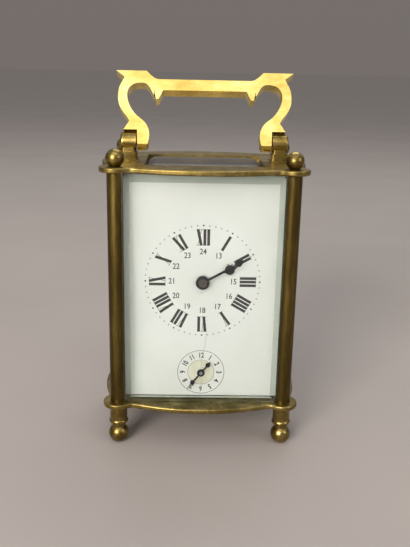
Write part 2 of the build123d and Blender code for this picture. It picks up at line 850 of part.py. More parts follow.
with BuildPart() as door_latch:
    rod((latch_x, latch_z), tongue_back, door_back + end_gap, latch_shaft_radius)
    with BuildSketch(Plane.XY.offset(latch_z)) as knob:
        with BuildLine():
            knob_start = door_back + end_gap
            knob_end = knob_start + latch_knob_height
            Line((latch_x, knob_start), (latch_x + latch_knob_radius * 0.5, knob_start))
            Spline((latch_x + latch_knob_radius * 0.5, knob_start),
                   (latch_x + latch_knob_radius * 0.45, knob_start + latch_knob_height * 0.35),
                   (latch_x + latch_knob_radius, knob_start + latch_knob_height * 0.7),
                   (latch_x, knob_end), tangents=((0, 1), (-1, 0)))
            Line((latch_x, knob_end), (latch_x, knob_start))
        make_face()
    revolve(knob.sketch, axis=Axis((latch_x, 0, latch_z), (0, 1, 0)))
    with BuildSketch(facing(latch_x, tongue_back, latch_z)) as tongue:
        with Locations((0, latch_tongue_reach / 2 - latch_tongue_width / 4)):
            Rectangle(latch_tongue_width, latch_tongue_reach + latch_tongue_width / 2)
    extrude(tongue.sketch, amount=latch_tongue_thickness)
save(door_latch, "door_latch")

# Dial: a white enamelled copper plate, with four feet pinned through the front movement plate

dial_low = base_top + dial_foot_gap
dial_high = top_bottom - dial_top_gap
dial_feet_places = [(x, z) for x in (-dial_foot_x, dial_foot_x)
                    for z in (base_top + dial_foot_low, base_top + dial_foot_high)]
with BuildPart() as dial:
    with BuildSketch(facing(0, dial_back, (dial_low + dial_high) / 2)):
        Rectangle(dial_width, dial_high - dial_low)
    extrude(amount=dial_thickness)
    rod((0, main_z), dial_front, dial_back, dial_hole_radius, Mode.SUBTRACT)
    rod((0, alarm_z), dial_front, dial_back, alarm_hole_radius, Mode.SUBTRACT)
save(dial, "dial")

with BuildPart() as dial_feet:
    for place in dial_feet_places:
        rod(place, dial_back, front_plate_back + end_shake, dial_foot_radius)
save(dial_feet, "dial_feet")

# Where the arbors stand, as (x, z) seen from the front

centre_place = (0.0, main_z)
alarm_place = (0.0, alarm_z)
great_distance = (great_teeth + centre_pinion_teeth) / 2 * great_module
barrel_place = (great_distance * cos(radians(barrel_angle)),
                main_z + great_distance * sin(radians(barrel_angle)))
contrate_place = (contrate_x, movement_top - contrate_drop)
third_distance = (centre_teeth + third_pinion_teeth) / 2 * centre_module
contrate_distance = (third_teeth + contrate_pinion_teeth) / 2 * third_module
third_place = meeting_point(centre_place, third_distance, contrate_place, contrate_distance, -1)
motion_distance = (cannon_teeth + minute_wheel_teeth) / 2 * motion_module
minute_place = (-motion_distance * cos(radians(45)), main_z + motion_distance * sin(radians(45)))
idler_distance = (hour_teeth + idler_teeth) / 2 * hour_module
idler_place = meeting_point(centre_place, idler_distance, alarm_place, idler_distance, 1)
alarm_barrel_place = (alarm_barrel_x, base_top + alarm_barrel_height)
alarm_distance = (alarm_great_teeth + alarm_pinion_teeth) / 2 * alarm_module
alarm_escape_place = (alarm_barrel_x + alarm_distance * cos(radians(alarm_escape_angle)),
                      alarm_barrel_place[1] + alarm_distance * sin(radians(alarm_escape_angle)))
hammer_place = (hammer_x, movement_top - hammer_drop)
bell_place = (bell_x, movement_top - bell_drop)
click_angle = radians(150)
click_place = (barrel_place[0] + click_distance * cos(click_angle),
               barrel_place[1] + click_distance * sin(click_angle))
winding_bore = winding_radius + running

# Movement plates

pivots = [(third_place, pivot_radius), (contrate_place, pivot_radius),
          (alarm_escape_place, pivot_radius), (barrel_place, winding_radius),
          (alarm_barrel_place, winding_radius), (alarm_place, arbor_radius)]
pillar_places = [(x, z) for x in (-pillar_x, pillar_x)
                 for z in (base_top + pillar_low, movement_top - pillar_high)]


def movement_plate_blank(y_front):
    """A movement plate with the holes that both plates have."""
    with BuildSketch(facing(0, y_front + movement_plate, (base_top + movement_top) / 2)) as blank:
        Rectangle(movement_width, movement_height)
    extrude(blank.sketch, amount=movement_plate)
    for place, radius in pivots:
        rod(place, y_front, y_front + movement_plate, radius + running, Mode.SUBTRACT)
    rod(centre_place, y_front, y_front + movement_plate, centre_arbor_radius + running, Mode.SUBTRACT)
    for place in pillar_places:
        rod(place, y_front, y_front + movement_plate, screw_radius, Mode.SUBTRACT)


platform_middle = (platform_left + platform_right) / 2
platform_screw_x = (platform_right - platform_left) / 2 - small_head_radius - stud_gap


def mounting_holes(y_middle):
    """Threaded holes in a plate's lower and upper edges."""
    for x in (-mounting_x, mounting_x):
        post((x, y_middle), base_top, base_top + mounting_depth, small_screw_radius, Mode.SUBTRACT)
    for x in (platform_middle - platform_screw_x, platform_middle + platform_screw_x):
        post((x, y_middle), movement_top - mounting_depth, movement_top, small_screw_radius,
             Mode.SUBTRACT)


front_plate_middle = (front_plate_front + front_plate_back) / 2
rear_plate_middle = (rear_plate_front + rear_plate_back) / 2
with BuildPart() as front_movement_plate:
    movement_plate_blank(front_plate_front)
    mounting_holes(front_plate_middle)
    for place in dial_feet_places:
        rod(place, front_plate_front, front_plate_back, dial_foot_radius + running, Mode.SUBTRACT)
    rod(hammer_place, front_plate_front, front_plate_back, pivot_radius + running, Mode.SUBTRACT)
    for place in (minute_place, idler_place):
        rod(place, dial_back + stud_gap, front_plate_front, wheel_stud_radius)
save(front_movement_plate, "front_movement_plate")

with BuildPart() as rear_movement_plate:
    movement_plate_blank(rear_plate_front)
    mounting_holes(rear_plate_middle)
    rod(hammer_place, rear_plate_front, rear_plate_back, arbor_radius + running, Mode.SUBTRACT)
    rod(bell_place, rear_plate_front, rear_plate_back, screw_radius, Mode.SUBTRACT)
    rod(click_place, rear_plate_back, rear_plate_back + ratchet_thickness + 0.3, arbor_radius)
save(rear_movement_plate, "rear_movement_plate")

with BuildPart() as pillars:
    for place in pillar_places:
        rod(place, front_plate_back, rear_plate_front, pillar_radius)
        rod(place, front_plate_back, front_plate_back + pillar_thread, screw_radius, Mode.SUBTRACT)
        rod(place, rear_plate_front - pillar_thread, rear_plate_front, screw_radius, Mode.SUBTRACT)
save(pillars, "pillars")

with BuildPart() as movement_screws:
    for place in pillar_places:
        rod(place, front_plate_front - screw_head_height, front_plate_front, screw_head_radius)
        rod(place, front_plate_front, front_plate_back + pillar_thread - thread_gap, screw_radius)
        rod(place, rear_plate_back, rear_plate_back + screw_head_height, screw_head_radius)
        rod(place, rear_plate_front - pillar_thread + thread_gap, rear_plate_back, screw_radius)
    for place in mounting_places:
        post(place, base_bottom - small_head_height, base_bottom, small_head_radius)
        post(place, base_bottom, base_top + mounting_depth - thread_gap, small_screw_radius)
    platform_top = movement_top + platform_thickness
    for x in (platform_middle - platform_screw_x, platform_middle + platform_screw_x):
        for y in (front_plate_middle, rear_plate_middle):
            post((x, y), platform_top, platform_top + small_head_height, small_head_radius)
            post((x, y), movement_top - mounting_depth + thread_gap, platform_top, small_screw_radius)
    for place in pillar_places:
        slot_back = rear_plate_back + screw_head_height
        with BuildSketch(facing(place[0], slot_back, place[1])) as slot:
            Rectangle(2 * screw_head_radius, screw_slot_width)
        extrude(slot.sketch, amount=slot_depth, mode=Mode.SUBTRACT)
    small_slots = [(place, base_bottom - small_head_height) for place in mounting_places]
    small_slots += [((x, y), platform_top + small_head_height - slot_depth)
                    for x in (platform_middle - platform_screw_x, platform_middle + platform_screw_x)
                    for y in (front_plate_middle, rear_plate_middle)]
    for place, low in small_slots:
        with BuildSketch(Plane.XY.offset(low)) as slot:
            with Locations(place):
                Rectangle(2 * small_head_radius, screw_slot_width)
        extrude(slot.sketch, amount=slot_depth, mode=Mode.SUBTRACT)
save(movement_screws, "movement_screws")

# Going barrel: the great wheel and its drum, cover, spring and winding arbor

wheel_front = front_plate_back + layer_gap
drum_front = wheel_front + great_thickness
drum_back = drum_front + drum_height


def barrel(place, teeth, module, tooth_at, radius, height):
    """A spring barrel: a toothed floor with a drum wall behind it."""
    spur(place, wheel_front, great_thickness, teeth, module, tooth_at)
    rod(place, drum_front, drum_front + height, radius)
    rod(place, drum_front, drum_front + height, radius - drum_wall, Mode.SUBTRACT)
    rod(place, wheel_front, drum_front, winding_bore, Mode.SUBTRACT)


with BuildPart() as going_barrel:
    barrel(barrel_place, great_teeth, great_module, direction(barrel_place, centre_place),
           drum_radius, drum_height)
save(going_barrel, "going_barrel")

with BuildPart() as barrel_cover:
    rod(barrel_place, drum_back - cover_thickness, drum_back, drum_radius - drum_wall)
    rod(barrel_place, drum_back - cover_thickness, drum_back, winding_bore, Mode.SUBTRACT)
save(barrel_cover, "barrel_cover")

spring_front = drum_front + spring_gap
spring_height = drum_height - cover_thickness - 2 * spring_gap
spring_room = drum_radius - drum_wall - winding_hub_radius - 2 * spring_gap
spring_pitch = (spring_room - spring_thickness) / (spring_turns + 0.5)
with BuildPart() as mainspring:
    spiral(barrel_place, spring_front, spring_height,
           winding_hub_radius + spring_gap + spring_thickness / 2, spring_pitch, spring_turns,
           spring_thickness)
save(mainspring, "mainspring")


def winding_arbor_blank(place, height, hub_radius):
    """An arbor with a hub inside its barrel and a square behind the rear plate."""
    rod(place, front_plate_front, rear_plate_back, winding_radius)
    rod(place, drum_front + end_gap, drum_front + height - cover_thickness - end_gap,
        hub_radius)
    with BuildSketch(facing(place[0], rear_plate_back + winding_reach, place[1])) as square:
        Rectangle(winding_square, winding_square)
    extrude(square.sketch, amount=winding_reach)


with BuildPart() as winding_arbor:
    winding_arbor_blank(barrel_place, drum_height, winding_hub_radius)
save(winding_arbor, "winding_arbor")

ratchet_front = rear_plate_back + ratchet_gap
with BuildPart() as ratchet_wheel:
    with BuildSketch(facing(barrel_place[0], ratchet_front + ratchet_thickness, barrel_place[1])):
        with BuildLine():
            saw = []
            for tooth in range(ratchet_teeth):
                angle = 2 * pi * tooth / ratchet_teeth
                saw.append((ratchet_radius * cos(angle), ratchet_radius * sin(angle)))
                inner = ratchet_radius - ratchet_depth
                saw.append((inner * cos(angle + tooth_lean), inner * sin(angle + tooth_lean)))
            Polyline(*saw, close=True)
        make_face()
        Rectangle(winding_square + fixed_clearance, winding_square + fixed_clearance, mode=Mode.SUBTRACT)
    extrude(amount=ratchet_thickness)
save(ratchet_wheel, "ratchet_wheel")

# Click: a small steel pawl on its stud, with a bent spring behind it

beak_reach = click_distance - ratchet_radius - ratchet_gap
with BuildPart() as click:
    click_plane = Plane(origin=(click_place[0], ratchet_front + ratchet_thickness, click_place[1]),
                        x_dir=(cos(click_angle + pi), 0, sin(click_angle + pi)), z_dir=(0, -1, 0))
    with BuildSketch(click_plane):
        Circle(click_width)
        with BuildLine():
            Polyline((0, click_width), (beak_reach, click_width * 0.9), (beak_reach, click_width * 0.5),
                     (click_width, -click_width * 0.4), (0, 0), (0, click_width))
        make_face()
        Circle(arbor_radius + running, mode=Mode.SUBTRACT)
    extrude(amount=ratchet_thickness - running)
save(click, "click")

with BuildPart() as click_spring:
    spring_root = (click_place[0] - 5.0, click_place[1] + 9.0)
    rod(spring_root, rear_plate_back, rear_plate_back + ratchet_thickness, small_head_radius)
    with BuildSketch(facing(0, rear_plate_back + ratchet_thickness, 0)):
        with BuildLine():
            ThreePointArc(spring_root, (click_place[0] - 3.4, click_place[1] + 4.6),
                          (click_place[0] - 0.2, click_place[1] + click_width + 0.45))
        trace(line_width=click_spring_width)
    extrude(amount=ratchet_thickness - end_shake)
save(click_spring, "click_spring")

# Going train

centre_wheel_front = drum_back + centre_wheel_gap
with BuildPart() as centre_wheel:
    rod(centre_place, dial_front - hour_hand_standoff - hand_spacing * 3, rear_plate_back,
        centre_arbor_radius)
    rod(centre_place, front_plate_back + end_shake, rear_plate_front - end_shake,
        centre_body_radius)
    spur(centre_place, wheel_front - pinion_extra / 2, great_thickness + pinion_extra,
         centre_pinion_teeth, great_module,
         meshed(barrel_place, centre_place, centre_pinion_teeth))
    spur(centre_place, centre_wheel_front, wheel_thickness, centre_teeth, centre_module,
         direction(centre_place, third_place), spokes=4, hub=wheel_hub)
    with BuildSketch(facing(0, rear_plate_back + winding_reach, main_z)) as square:
        Rectangle(hand_square, hand_square)
    extrude(square.sketch, amount=winding_reach)
save(centre_wheel, "centre_wheel")

with BuildPart() as third_wheel:
    rod(third_place, front_plate_front, rear_plate_back, pivot_radius)
    rod(third_place, front_plate_back + end_shake, rear_plate_front - end_shake, arbor_radius)
    spur(third_place, centre_wheel_front - pinion_extra / 2, wheel_thickness + pinion_extra,
         third_pinion_teeth, centre_module, meshed(centre_place, third_place, third_pinion_teeth))
    spur(third_place, wheel_front, wheel_thickness, third_teeth, third_module,
         direction(third_place, contrate_place), spokes=4, hub=wheel_hub)
save(third_wheel, "third_wheel")

# Contrate wheel: a crown of teeth that turns the drive up to the platform

crown_radius = contrate_teeth * contrate_module / 2
crown_front = front_plate_back + contrate_layer
crown_root = crown_front + wheel_thickness
crown_tip = crown_root + crown_height
crown_pitch = pi * contrate_module
with BuildPart() as contrate_wheel:
    rod(contrate_place, front_plate_front, rear_plate_back, pivot_radius)
    rod(contrate_place, front_plate_back + end_shake, rear_plate_front - end_shake, arbor_radius)
    spur(contrate_place, wheel_front - pinion_extra / 2, wheel_thickness + pinion_extra,
         contrate_pinion_teeth, third_module,
         meshed(third_place, contrate_place, contrate_pinion_teeth))
    with BuildSketch(facing(contrate_place[0], crown_root, contrate_place[1])) as crown_disc:
        Circle(crown_radius + crown_width / 2)
        Circle(crown_radius - crown_width / 2 - crown_ledge, mode=Mode.SUBTRACT)
        Circle(wheel_hub)
        with PolarLocations(crown_radius / 2, 4):
            Rectangle(crown_radius, spoke_width)
    extrude(crown_disc.sketch, amount=crown_disc_thickness)
    with BuildSketch(facing(contrate_place[0], crown_tip, contrate_place[1])) as crown_teeth:
        with PolarLocations(crown_radius, contrate_teeth, start_angle=90):
            Rectangle(crown_width, crown_pitch * crown_share)
    extrude(crown_teeth.sketch, amount=crown_height)
save(contrate_wheel, "contrate_wheel")

# Platform: a flat plate across the movement with a potence below for the escape arbor

escape_x = contrate_x
escape_y = crown_tip - crown_depth + escape_pinion_teeth * contrate_module / 2
escape_place = (escape_x, escape_y)
lever_place = (escape_x - lever_distance, escape_y)
balance_place = (escape_x - balance_distance, escape_y)
mesh_z = contrate_place[1] + crown_radius
pinion_tip = (escape_pinion_teeth / 2 + addendum) * contrate_module
pinion_low = mesh_z - escape_pinion_reach
pinion_high = movement_top - escape_pinion_top
potence_top = pinion_low - potence_gap
escape_low = platform_top + escape_lift
potence_y = escape_y + potence_setback
bridge_z = escape_low + bridge_lift
bridge_foot_y = escape_y + bridge_reach
cock_z = platform_top + cock_lift
cock_foot_y = escape_y + balance_radius + cock_foot_gap
with BuildPart() as platform:
    with BuildSketch(Plane.XY.offset(movement_top)):
        with Locations((platform_middle, (front_plate_front + rear_plate_back) / 2)):
            Rectangle(platform_right - platform_left, rear_plate_back - front_plate_front)
    extrude(amount=platform_thickness)
    post(escape_place, movement_top, platform_top, pinion_tip + escape_pivot, Mode.SUBTRACT)
    for place in (lever_place, balance_place):
        post(place, platform_top - pivot_depth - end_gap, platform_top, escape_pivot + running,
             Mode.SUBTRACT)
    for x in (platform_middle - platform_screw_x, platform_middle + platform_screw_x):
        for y in (front_plate_middle, rear_plate_middle):
            post((x, y), movement_top, platform_top, small_screw_radius, Mode.SUBTRACT)
    with BuildSketch(Plane.XY.offset(potence_top - potence_thickness)) as potence_post:
        with Locations((escape_x, potence_y)):
            Rectangle(potence_width, potence_depth)
    extrude(potence_post.sketch, amount=movement_top - potence_top + potence_thickness)
    with BuildSketch(Plane.XY.offset(potence_top - potence_thickness)) as potence_arm:
        with Locations((escape_x, (escape_y + potence_y) / 2)):
            Rectangle(potence_arm_width, potence_y - escape_y + potence_depth)
    extrude(potence_arm.sketch, amount=potence_thickness)
    post(escape_place, potence_top - potence_thickness, potence_top, escape_pivot + running,
         Mode.SUBTRACT)
save(platform, "platform")

# Escape wheel: its pinion hangs through the platform into the contrate wheel

with BuildPart() as escape_wheel:
    post(escape_place, potence_top - potence_thickness, bridge_z + bridge_thickness, escape_pivot)
    post(escape_place, potence_top + end_gap, bridge_z, escape_arbor_radius)
    with BuildSketch(Plane.XY.offset(pinion_low)) as leaves:
        with Locations(escape_place):
            Polygon(*wheel_outline(escape_pinion_teeth, contrate_module,
                                   -90 + 180 / escape_pinion_teeth), align=None)
    extrude(leaves.sketch, amount=pinion_high - pinion_low)
    with BuildSketch(Plane.XY.offset(escape_low)) as wheel:
        club = []
        for tooth in range(escape_teeth):
            angle = 2 * pi * tooth / escape_teeth
            root = escape_radius * 0.72
            for radius, lead in ((root, -0.11), (escape_radius, 0.06), (escape_radius, 0.13), (root, 0.04)):
                club.append((radius * cos(angle + lead), radius * sin(angle + lead)))
        with Locations(escape_place):
            Polygon(*club, align=None)
            Circle(root - 0.5, mode=Mode.SUBTRACT)
            Circle(0.9)
        with Locations(escape_place):
            with PolarLocations(root / 2, 4):
                Rectangle(root, 0.5)
    extrude(wheel.sketch, amount=escape_thickness)
save(escape_wheel, "escape_wheel")

# Lever: two pallets that straddle the escape wheel and a fork that reaches for the balance

pallet_x = escape_x - (escape_radius + lever_clearance) * cos(radians(52))
pallet_y = (escape_radius + lever_clearance) * sin(radians(52))
fork_end = balance_place[0] + 1.35
with BuildPart() as lever:
    post(lever_place, platform_top - pivot_depth, bridge_z + bridge_thickness, escape_pivot)
    with BuildSketch(Plane.XY.offset(escape_low)) as fork:
        with Locations(lever_place):
            Circle(0.7)
            Rectangle(0.7, 2 * pallet_y + 0.7)
        with Locations(((lever_place[0] + fork_end) / 2, escape_y)):
            Rectangle(lever_place[0] - fork_end, 0.5)
        with Locations((fork_end + 0.5, escape_y)):
            Rectangle(1.0, 1.5)
        with Locations((fork_end + 0.2, escape_y)):
            Rectangle(0.8, 0.5, mode=Mode.SUBTRACT)
        for side in (-1, 1):
            with Locations(((lever_place[0] + pallet_x) / 2, escape_y + side * (pallet_y + 0.2))):
                Rectangle(pallet_x - lever_place[0] + 0.2, 0.5)
    extrude(fork.sketch, amount=escape_thickness)
save(lever, "lever")

# Balance: a rim with timing screws on its staff, with the roller that works the lever

balance_z = platform_top + balance_lift
with BuildPart() as balance_wheel:
    post(balance_place, platform_top - pivot_depth, cock_z + cock_thickness - end_gap, escape_pivot)
    post(balance_place, platform_top + end_shake, cock_z - end_shake, escape_arbor_radius)
    roller_low = escape_low + escape_thickness + end_shake
    post(balance_place, roller_low, roller_low + roller_thickness, roller_radius)
    with BuildSketch(Plane.XY.offset(balance_z)) as rim:
        with Locations(balance_place):
            Circle(balance_radius)
            Circle(balance_radius - balance_rim, mode=Mode.SUBTRACT)
            Rectangle(2 * balance_radius - balance_rim, balance_arm_width)
            Circle(balance_hub_radius)
    extrude(rim.sketch, amount=balance_thickness)
    for screw in range(balance_screws):
        angle = 2 * pi * (screw + 0.5) / balance_screws
        outward = Plane(origin=(balance_place[0] + (balance_radius - 0.2) * cos(angle),
                                balance_place[1] + (balance_radius - 0.2) * sin(angle),
                                balance_z + balance_thickness / 2),
                        z_dir=(cos(angle), sin(angle), 0))
        with BuildSketch(outward) as head:
            Circle(balance_screw_radius)
        extrude(head.sketch, amount=balance_screw_length)
save(balance_wheel, "balance_wheel")

hairspring_z = balance_z + balance_thickness + hairspring_lift
with BuildPart() as hairspring:
    radius = hairspring_start
    shift = 0.0
    for half in range(2 * hairspring_turns):
        side = 1 if half % 2 == 0 else -1
        with BuildSketch(Plane.XY.offset(hairspring_z)) as strip:
            with Locations((balance_place[0] + shift, balance_place[1])):
                Circle(radius + hairspring_thickness / 2)
                Circle(radius - hairspring_thickness / 2, mode=Mode.SUBTRACT)
            with Locations((balance_place[0] + shift, balance_place[1] - side * 2 * radius)):
                Rectangle(6 * radius, 4 * radius, mode=Mode.SUBTRACT)
        extrude(strip.sketch, amount=hairspring_height)
        radius += hairspring_pitch / 2
        shift += side * hairspring_pitch / 2
    post(balance_place, hairspring_z, hairspring_z + hairspring_height, hairspring_start)
    post(balance_place, hairspring_z, hairspring_z + hairspring_height, escape_arbor_radius, Mode.SUBTRACT)
save(hairspring, "hairspring")

# Balance cock and the small bridge over the escape wheel and lever

with BuildPart() as balance_cock:
    with BuildSketch(Plane.XY.offset(platform_top)) as cock_block:
        with Locations((balance_place[0], cock_foot_y)):
            Rectangle(cock_foot_width, cock_foot)
    extrude(cock_block.sketch, amount=cock_lift)
    with BuildSketch(Plane.XY.offset(cock_z)) as arm:
        with Locations((balance_place[0], (balance_place[1] + cock_foot_y + cock_foot / 2) / 2)):
            Rectangle(cock_width, cock_foot_y + cock_foot / 2 - balance_place[1])
        with Locations(balance_place):
            Circle(cock_width / 2)
        with Locations((balance_place[0], cock_foot_y)):
            Rectangle(cock_foot_width, cock_foot)
    extrude(arm.sketch, amount=cock_thickness)
    post(balance_place, cock_z + cock_thickness, cock_z + cock_thickness + cock_boss_height,
         cock_boss_radius)
    post(balance_place, cock_z, cock_z + cock_thickness, escape_pivot + running, Mode.SUBTRACT)
    bridge_x = (escape_x + lever_place[0]) / 2
    with BuildSketch(Plane.XY.offset(platform_top)) as bridge_block:
        with Locations((bridge_x, bridge_foot_y)):
            Rectangle(lever_distance, bridge_foot)
    extrude(bridge_block.sketch, amount=bridge_z - platform_top)
    with BuildSketch(Plane.XY.offset(bridge_z)) as bridge:
        finger_end = escape_y - bridge_finger_width / 2
        finger_length = bridge_foot_y + bridge_foot / 2 - finger_end
        with Locations((escape_x, finger_end + finger_length / 2),
                       (lever_place[0], finger_end + finger_length / 2)):
            Rectangle(bridge_finger_width, finger_length)
        with Locations((bridge_x, bridge_foot_y)):
            Rectangle(lever_distance + bridge_finger_width, bridge_foot)
    extrude(bridge.sketch, amount=bridge_thickness)
    for place in (escape_place, lever_place):
        post(place, bridge_z, bridge_z + bridge_thickness, escape_pivot + running, Mode.SUBTRACT)
save(balance_cock, "balance_cock")

with BuildPart() as regulator:
    with BuildSketch(Plane.XY.offset(cock_z + cock_thickness + running)):
        with Locations(balance_place):
            Circle(cock_boss_radius + regulator_ring)
        with Locations((balance_place[0] - regulator_length / 2, balance_place[1])):
            Rectangle(regulator_length, regulator_width)
        with Locations((balance_place[0] + regulator_tail / 2, balance_place[1])):
            Rectangle(regulator_tail, regulator_ring)
        with Locations(balance_place):
            Circle(cock_boss_radius + running, mode=Mode.SUBTRACT)
    extrude(amount=regulator_thickness)
save(regulator, "regulator")

# Motion work: the wheels behind the dial that turn the hour hand once in twelve hours

motion_front = front_plate_front - motion_setback
hour_layer = dial_back + layer_gap
cannon_front = dial_front - hour_hand_standoff - hand_thickness - hand_spacing - hand_thickness
with BuildPart() as cannon_pinion:
    spur(centre_place, motion_front, cannon_thickness, cannon_teeth, motion_module,
         direction(centre_place, minute_place))
    rod(centre_place, cannon_front, motion_front + cannon_thickness, cannon_pipe_radius)
    rod(centre_place, cannon_front, motion_front + cannon_thickness, centre_arbor_radius, Mode.SUBTRACT)
save(cannon_pinion, "cannon_pinion")

with BuildPart() as minute_wheel:
    spur(minute_place, motion_front, wheel_thickness, minute_wheel_teeth, motion_module,
         meshed(centre_place, minute_place, minute_wheel_teeth))
    spur(minute_place, hour_layer - pinion_extra / 3, motion_front - hour_layer + pinion_extra / 3,
         minute_pinion_teeth, hour_module, direction(minute_place, centre_place))
    rod(minute_place, hour_layer - pinion_extra, motion_front + wheel_thickness, wheel_stud_radius + running,
        Mode.SUBTRACT)
save(minute_wheel, "minute_wheel")

hour_hand_back = dial_front - hour_hand_standoff
hour_tooth_at = meshed(minute_place, centre_place, hour_teeth)
idler_tooth_at = meshed(centre_place, idler_place, idler_teeth, hour_teeth, hour_tooth_at)
alarm_tooth_at = meshed(idler_place, alarm_place, hour_teeth, idler_teeth, idler_tooth_at)
with BuildPart() as hour_wheel:
    spur(centre_place, hour_layer, motion_thickness, hour_teeth, hour_module,
         hour_tooth_at)
    rod(centre_place, hour_hand_back - hand_thickness, hour_layer + motion_thickness, hour_pipe_radius)
    rod(centre_place, hour_hand_back - hand_thickness, hour_layer + motion_thickness,
        cannon_pipe_radius + running, Mode.SUBTRACT)
save(hour_wheel, "hour_wheel")

# Hands: blued steel


def pointer(place, y_back, angle, length, disc_place, disc_radius, hub, bore, width):
    """A moon hand: a hub, a slim blade with a round disc on it, and a pointed end."""
    turn = radians(90 - angle)
    plane = Plane(origin=(place[0], y_back, place[1]), x_dir=(cos(turn), 0, sin(turn)), z_dir=(0, -1, 0))
    with BuildSketch(plane) as shape:
        Circle(hub)
        with BuildLine():
            Polyline((0, width / 2), (length, 0), (0, -width / 2), (0, width / 2))
        make_face()
        with Locations((disc_place, 0)):
            Circle(disc_radius)
        with BuildLine():
            Polyline((disc_place - disc_radius * 1.5, 0), (disc_place, disc_radius * 0.8),
                     (disc_place + disc_radius * 1.8, 0), (disc_place, -disc_radius * 0.8),
                     (disc_place - disc_radius * 1.5, 0))
        make_face()
        Circle(bore, mode=Mode.SUBTRACT)
    extrude(shape.sketch, amount=hand_thickness)


with BuildPart() as hour_hand:
    pointer(centre_place, hour_hand_back, hour_angle, hour_hand_length, hour_disc_place,
            hour_disc_radius, hour_hub_radius, hour_pipe_radius, hand_width)
save(hour_hand, "hour_hand")

minute_hand_back = hour_hand_back - hand_thickness - hand_spacing
with BuildPart() as minute_hand:
    pointer(centre_place, minute_hand_back, minute_angle, minute_hand_length, minute_disc_place,
            minute_disc_radius, hand_hub_radius, cannon_pipe_radius, hand_width)
save(minute_hand, "minute_hand")

nut_back = minute_hand_back - hand_thickness
with BuildPart() as hand_nut:
    rod(centre_place, nut_back - hand_nut_height, nut_back, hand_nut_radius)
    rod(centre_place, nut_back - hand_nut_height, nut_back, centre_arbor_radius, Mode.SUBTRACT)
save(hand_nut, "hand_nut")

# Alarm setting: an arbor through the movement with the alarm hand, and the wheel that it carries

alarm_hand_back = dial_front - hour_hand_standoff
with BuildPart() as alarm_hand:
    turn = radians(90 - alarm_angle)
    alarm_plane = Plane(origin=(0, alarm_hand_back, alarm_z), x_dir=(cos(turn), 0, sin(turn)),
                        z_dir=(0, -1, 0))
    with BuildSketch(alarm_plane):
        Circle(alarm_hub_radius)
        with BuildLine():
            half = alarm_hand_width / 2
            Polyline((-alarm_tail_length, half), (alarm_hand_length * 0.55, half), (alarm_hand_length, 0),
                     (alarm_hand_length * 0.55, -half), (-alarm_tail_length, -half),
                     (-alarm_tail_length, half))
        make_face()
        with Locations((alarm_hand_length * 0.6, 0), (-alarm_tail_length * 0.75, 0)):
            Circle(alarm_hub_radius * 0.6)
        Circle(arbor_radius, mode=Mode.SUBTRACT)
    extrude(amount=hand_thickness)
save(alarm_hand, "alarm_hand")

with BuildPart() as alarm_setting_arbor:
    rod(alarm_place, alarm_hand_back - 2 * hand_thickness, rear_plate_back + winding_reach, arbor_radius)
    rod(alarm_place, front_plate_back + end_shake, rear_plate_front - end_shake,
        alarm_body_radius)
    rod(alarm_place, rear_plate_back + alarm_button_gap, rear_plate_back + winding_reach,
        alarm_button_radius)
save(alarm_setting_arbor, "alarm_setting_arbor")

with BuildPart() as alarm_idler:
    spur(idler_place, hour_layer, motion_thickness, idler_teeth, hour_module,
         idler_tooth_at, bore=wheel_stud_radius + running, spokes=4, hub=wheel_hub)
save(alarm_idler, "alarm_idler")

with BuildPart() as alarm_wheel:
    spur(alarm_place, hour_layer, motion_thickness, hour_teeth, hour_module,
         alarm_tooth_at, bore=arbor_radius + running)
save(alarm_wheel, "alarm_wheel")

# Alarm train

with BuildPart() as alarm_barrel:
    barrel(alarm_barrel_place, alarm_great_teeth, alarm_module,
           direction(alarm_barrel_place, alarm_escape_place), alarm_drum_radius, alarm_drum_height)
    rod(alarm_barrel_place, drum_front + alarm_drum_height - cover_thickness,
        drum_front + alarm_drum_height, alarm_drum_radius)
    rod(alarm_barrel_place, drum_front + alarm_drum_height - cover_thickness,
        drum_front + alarm_drum_height, winding_bore, Mode.SUBTRACT)
save(alarm_barrel, "alarm_barrel")

with BuildPart() as alarm_winding_arbor:
    winding_arbor_blank(alarm_barrel_place, alarm_drum_height, winding_hub_radius)
save(alarm_winding_arbor, "alarm_winding_arbor")

alarm_escape_front = rear_plate_front - alarm_escape_gap
with BuildPart() as alarm_escape_wheel:
    rod(alarm_escape_place, front_plate_front, rear_plate_back, pivot_radius)
    rod(alarm_escape_place, front_plate_back + end_shake, rear_plate_front - end_shake, arbor_radius)
    spur(alarm_escape_place, wheel_front - pinion_extra / 2, great_thickness + pinion_extra,
         alarm_pinion_teeth, alarm_module,
         meshed(alarm_barrel_place, alarm_escape_place, alarm_pinion_teeth))
    with BuildSketch(facing(alarm_escape_place[0], alarm_escape_front + wheel_thickness,
                            alarm_escape_place[1])) as recoil:
        points = []
        for tooth in range(alarm_escape_teeth):
            angle = 2 * pi * tooth / alarm_escape_teeth
            points.append((alarm_escape_radius * cos(angle), alarm_escape_radius * sin(angle)))
            inner = alarm_escape_radius - alarm_escape_depth
            points.append((inner * cos(angle + tooth_lean), inner * sin(angle + tooth_lean)))
        Polygon(*points, align=None)
    extrude(recoil.sketch, amount=wheel_thickness)
save(alarm_escape_wheel, "alarm_escape_wheel")

# Hammer: an arbor with a verge inside and an arm with a round head outside the rear plate

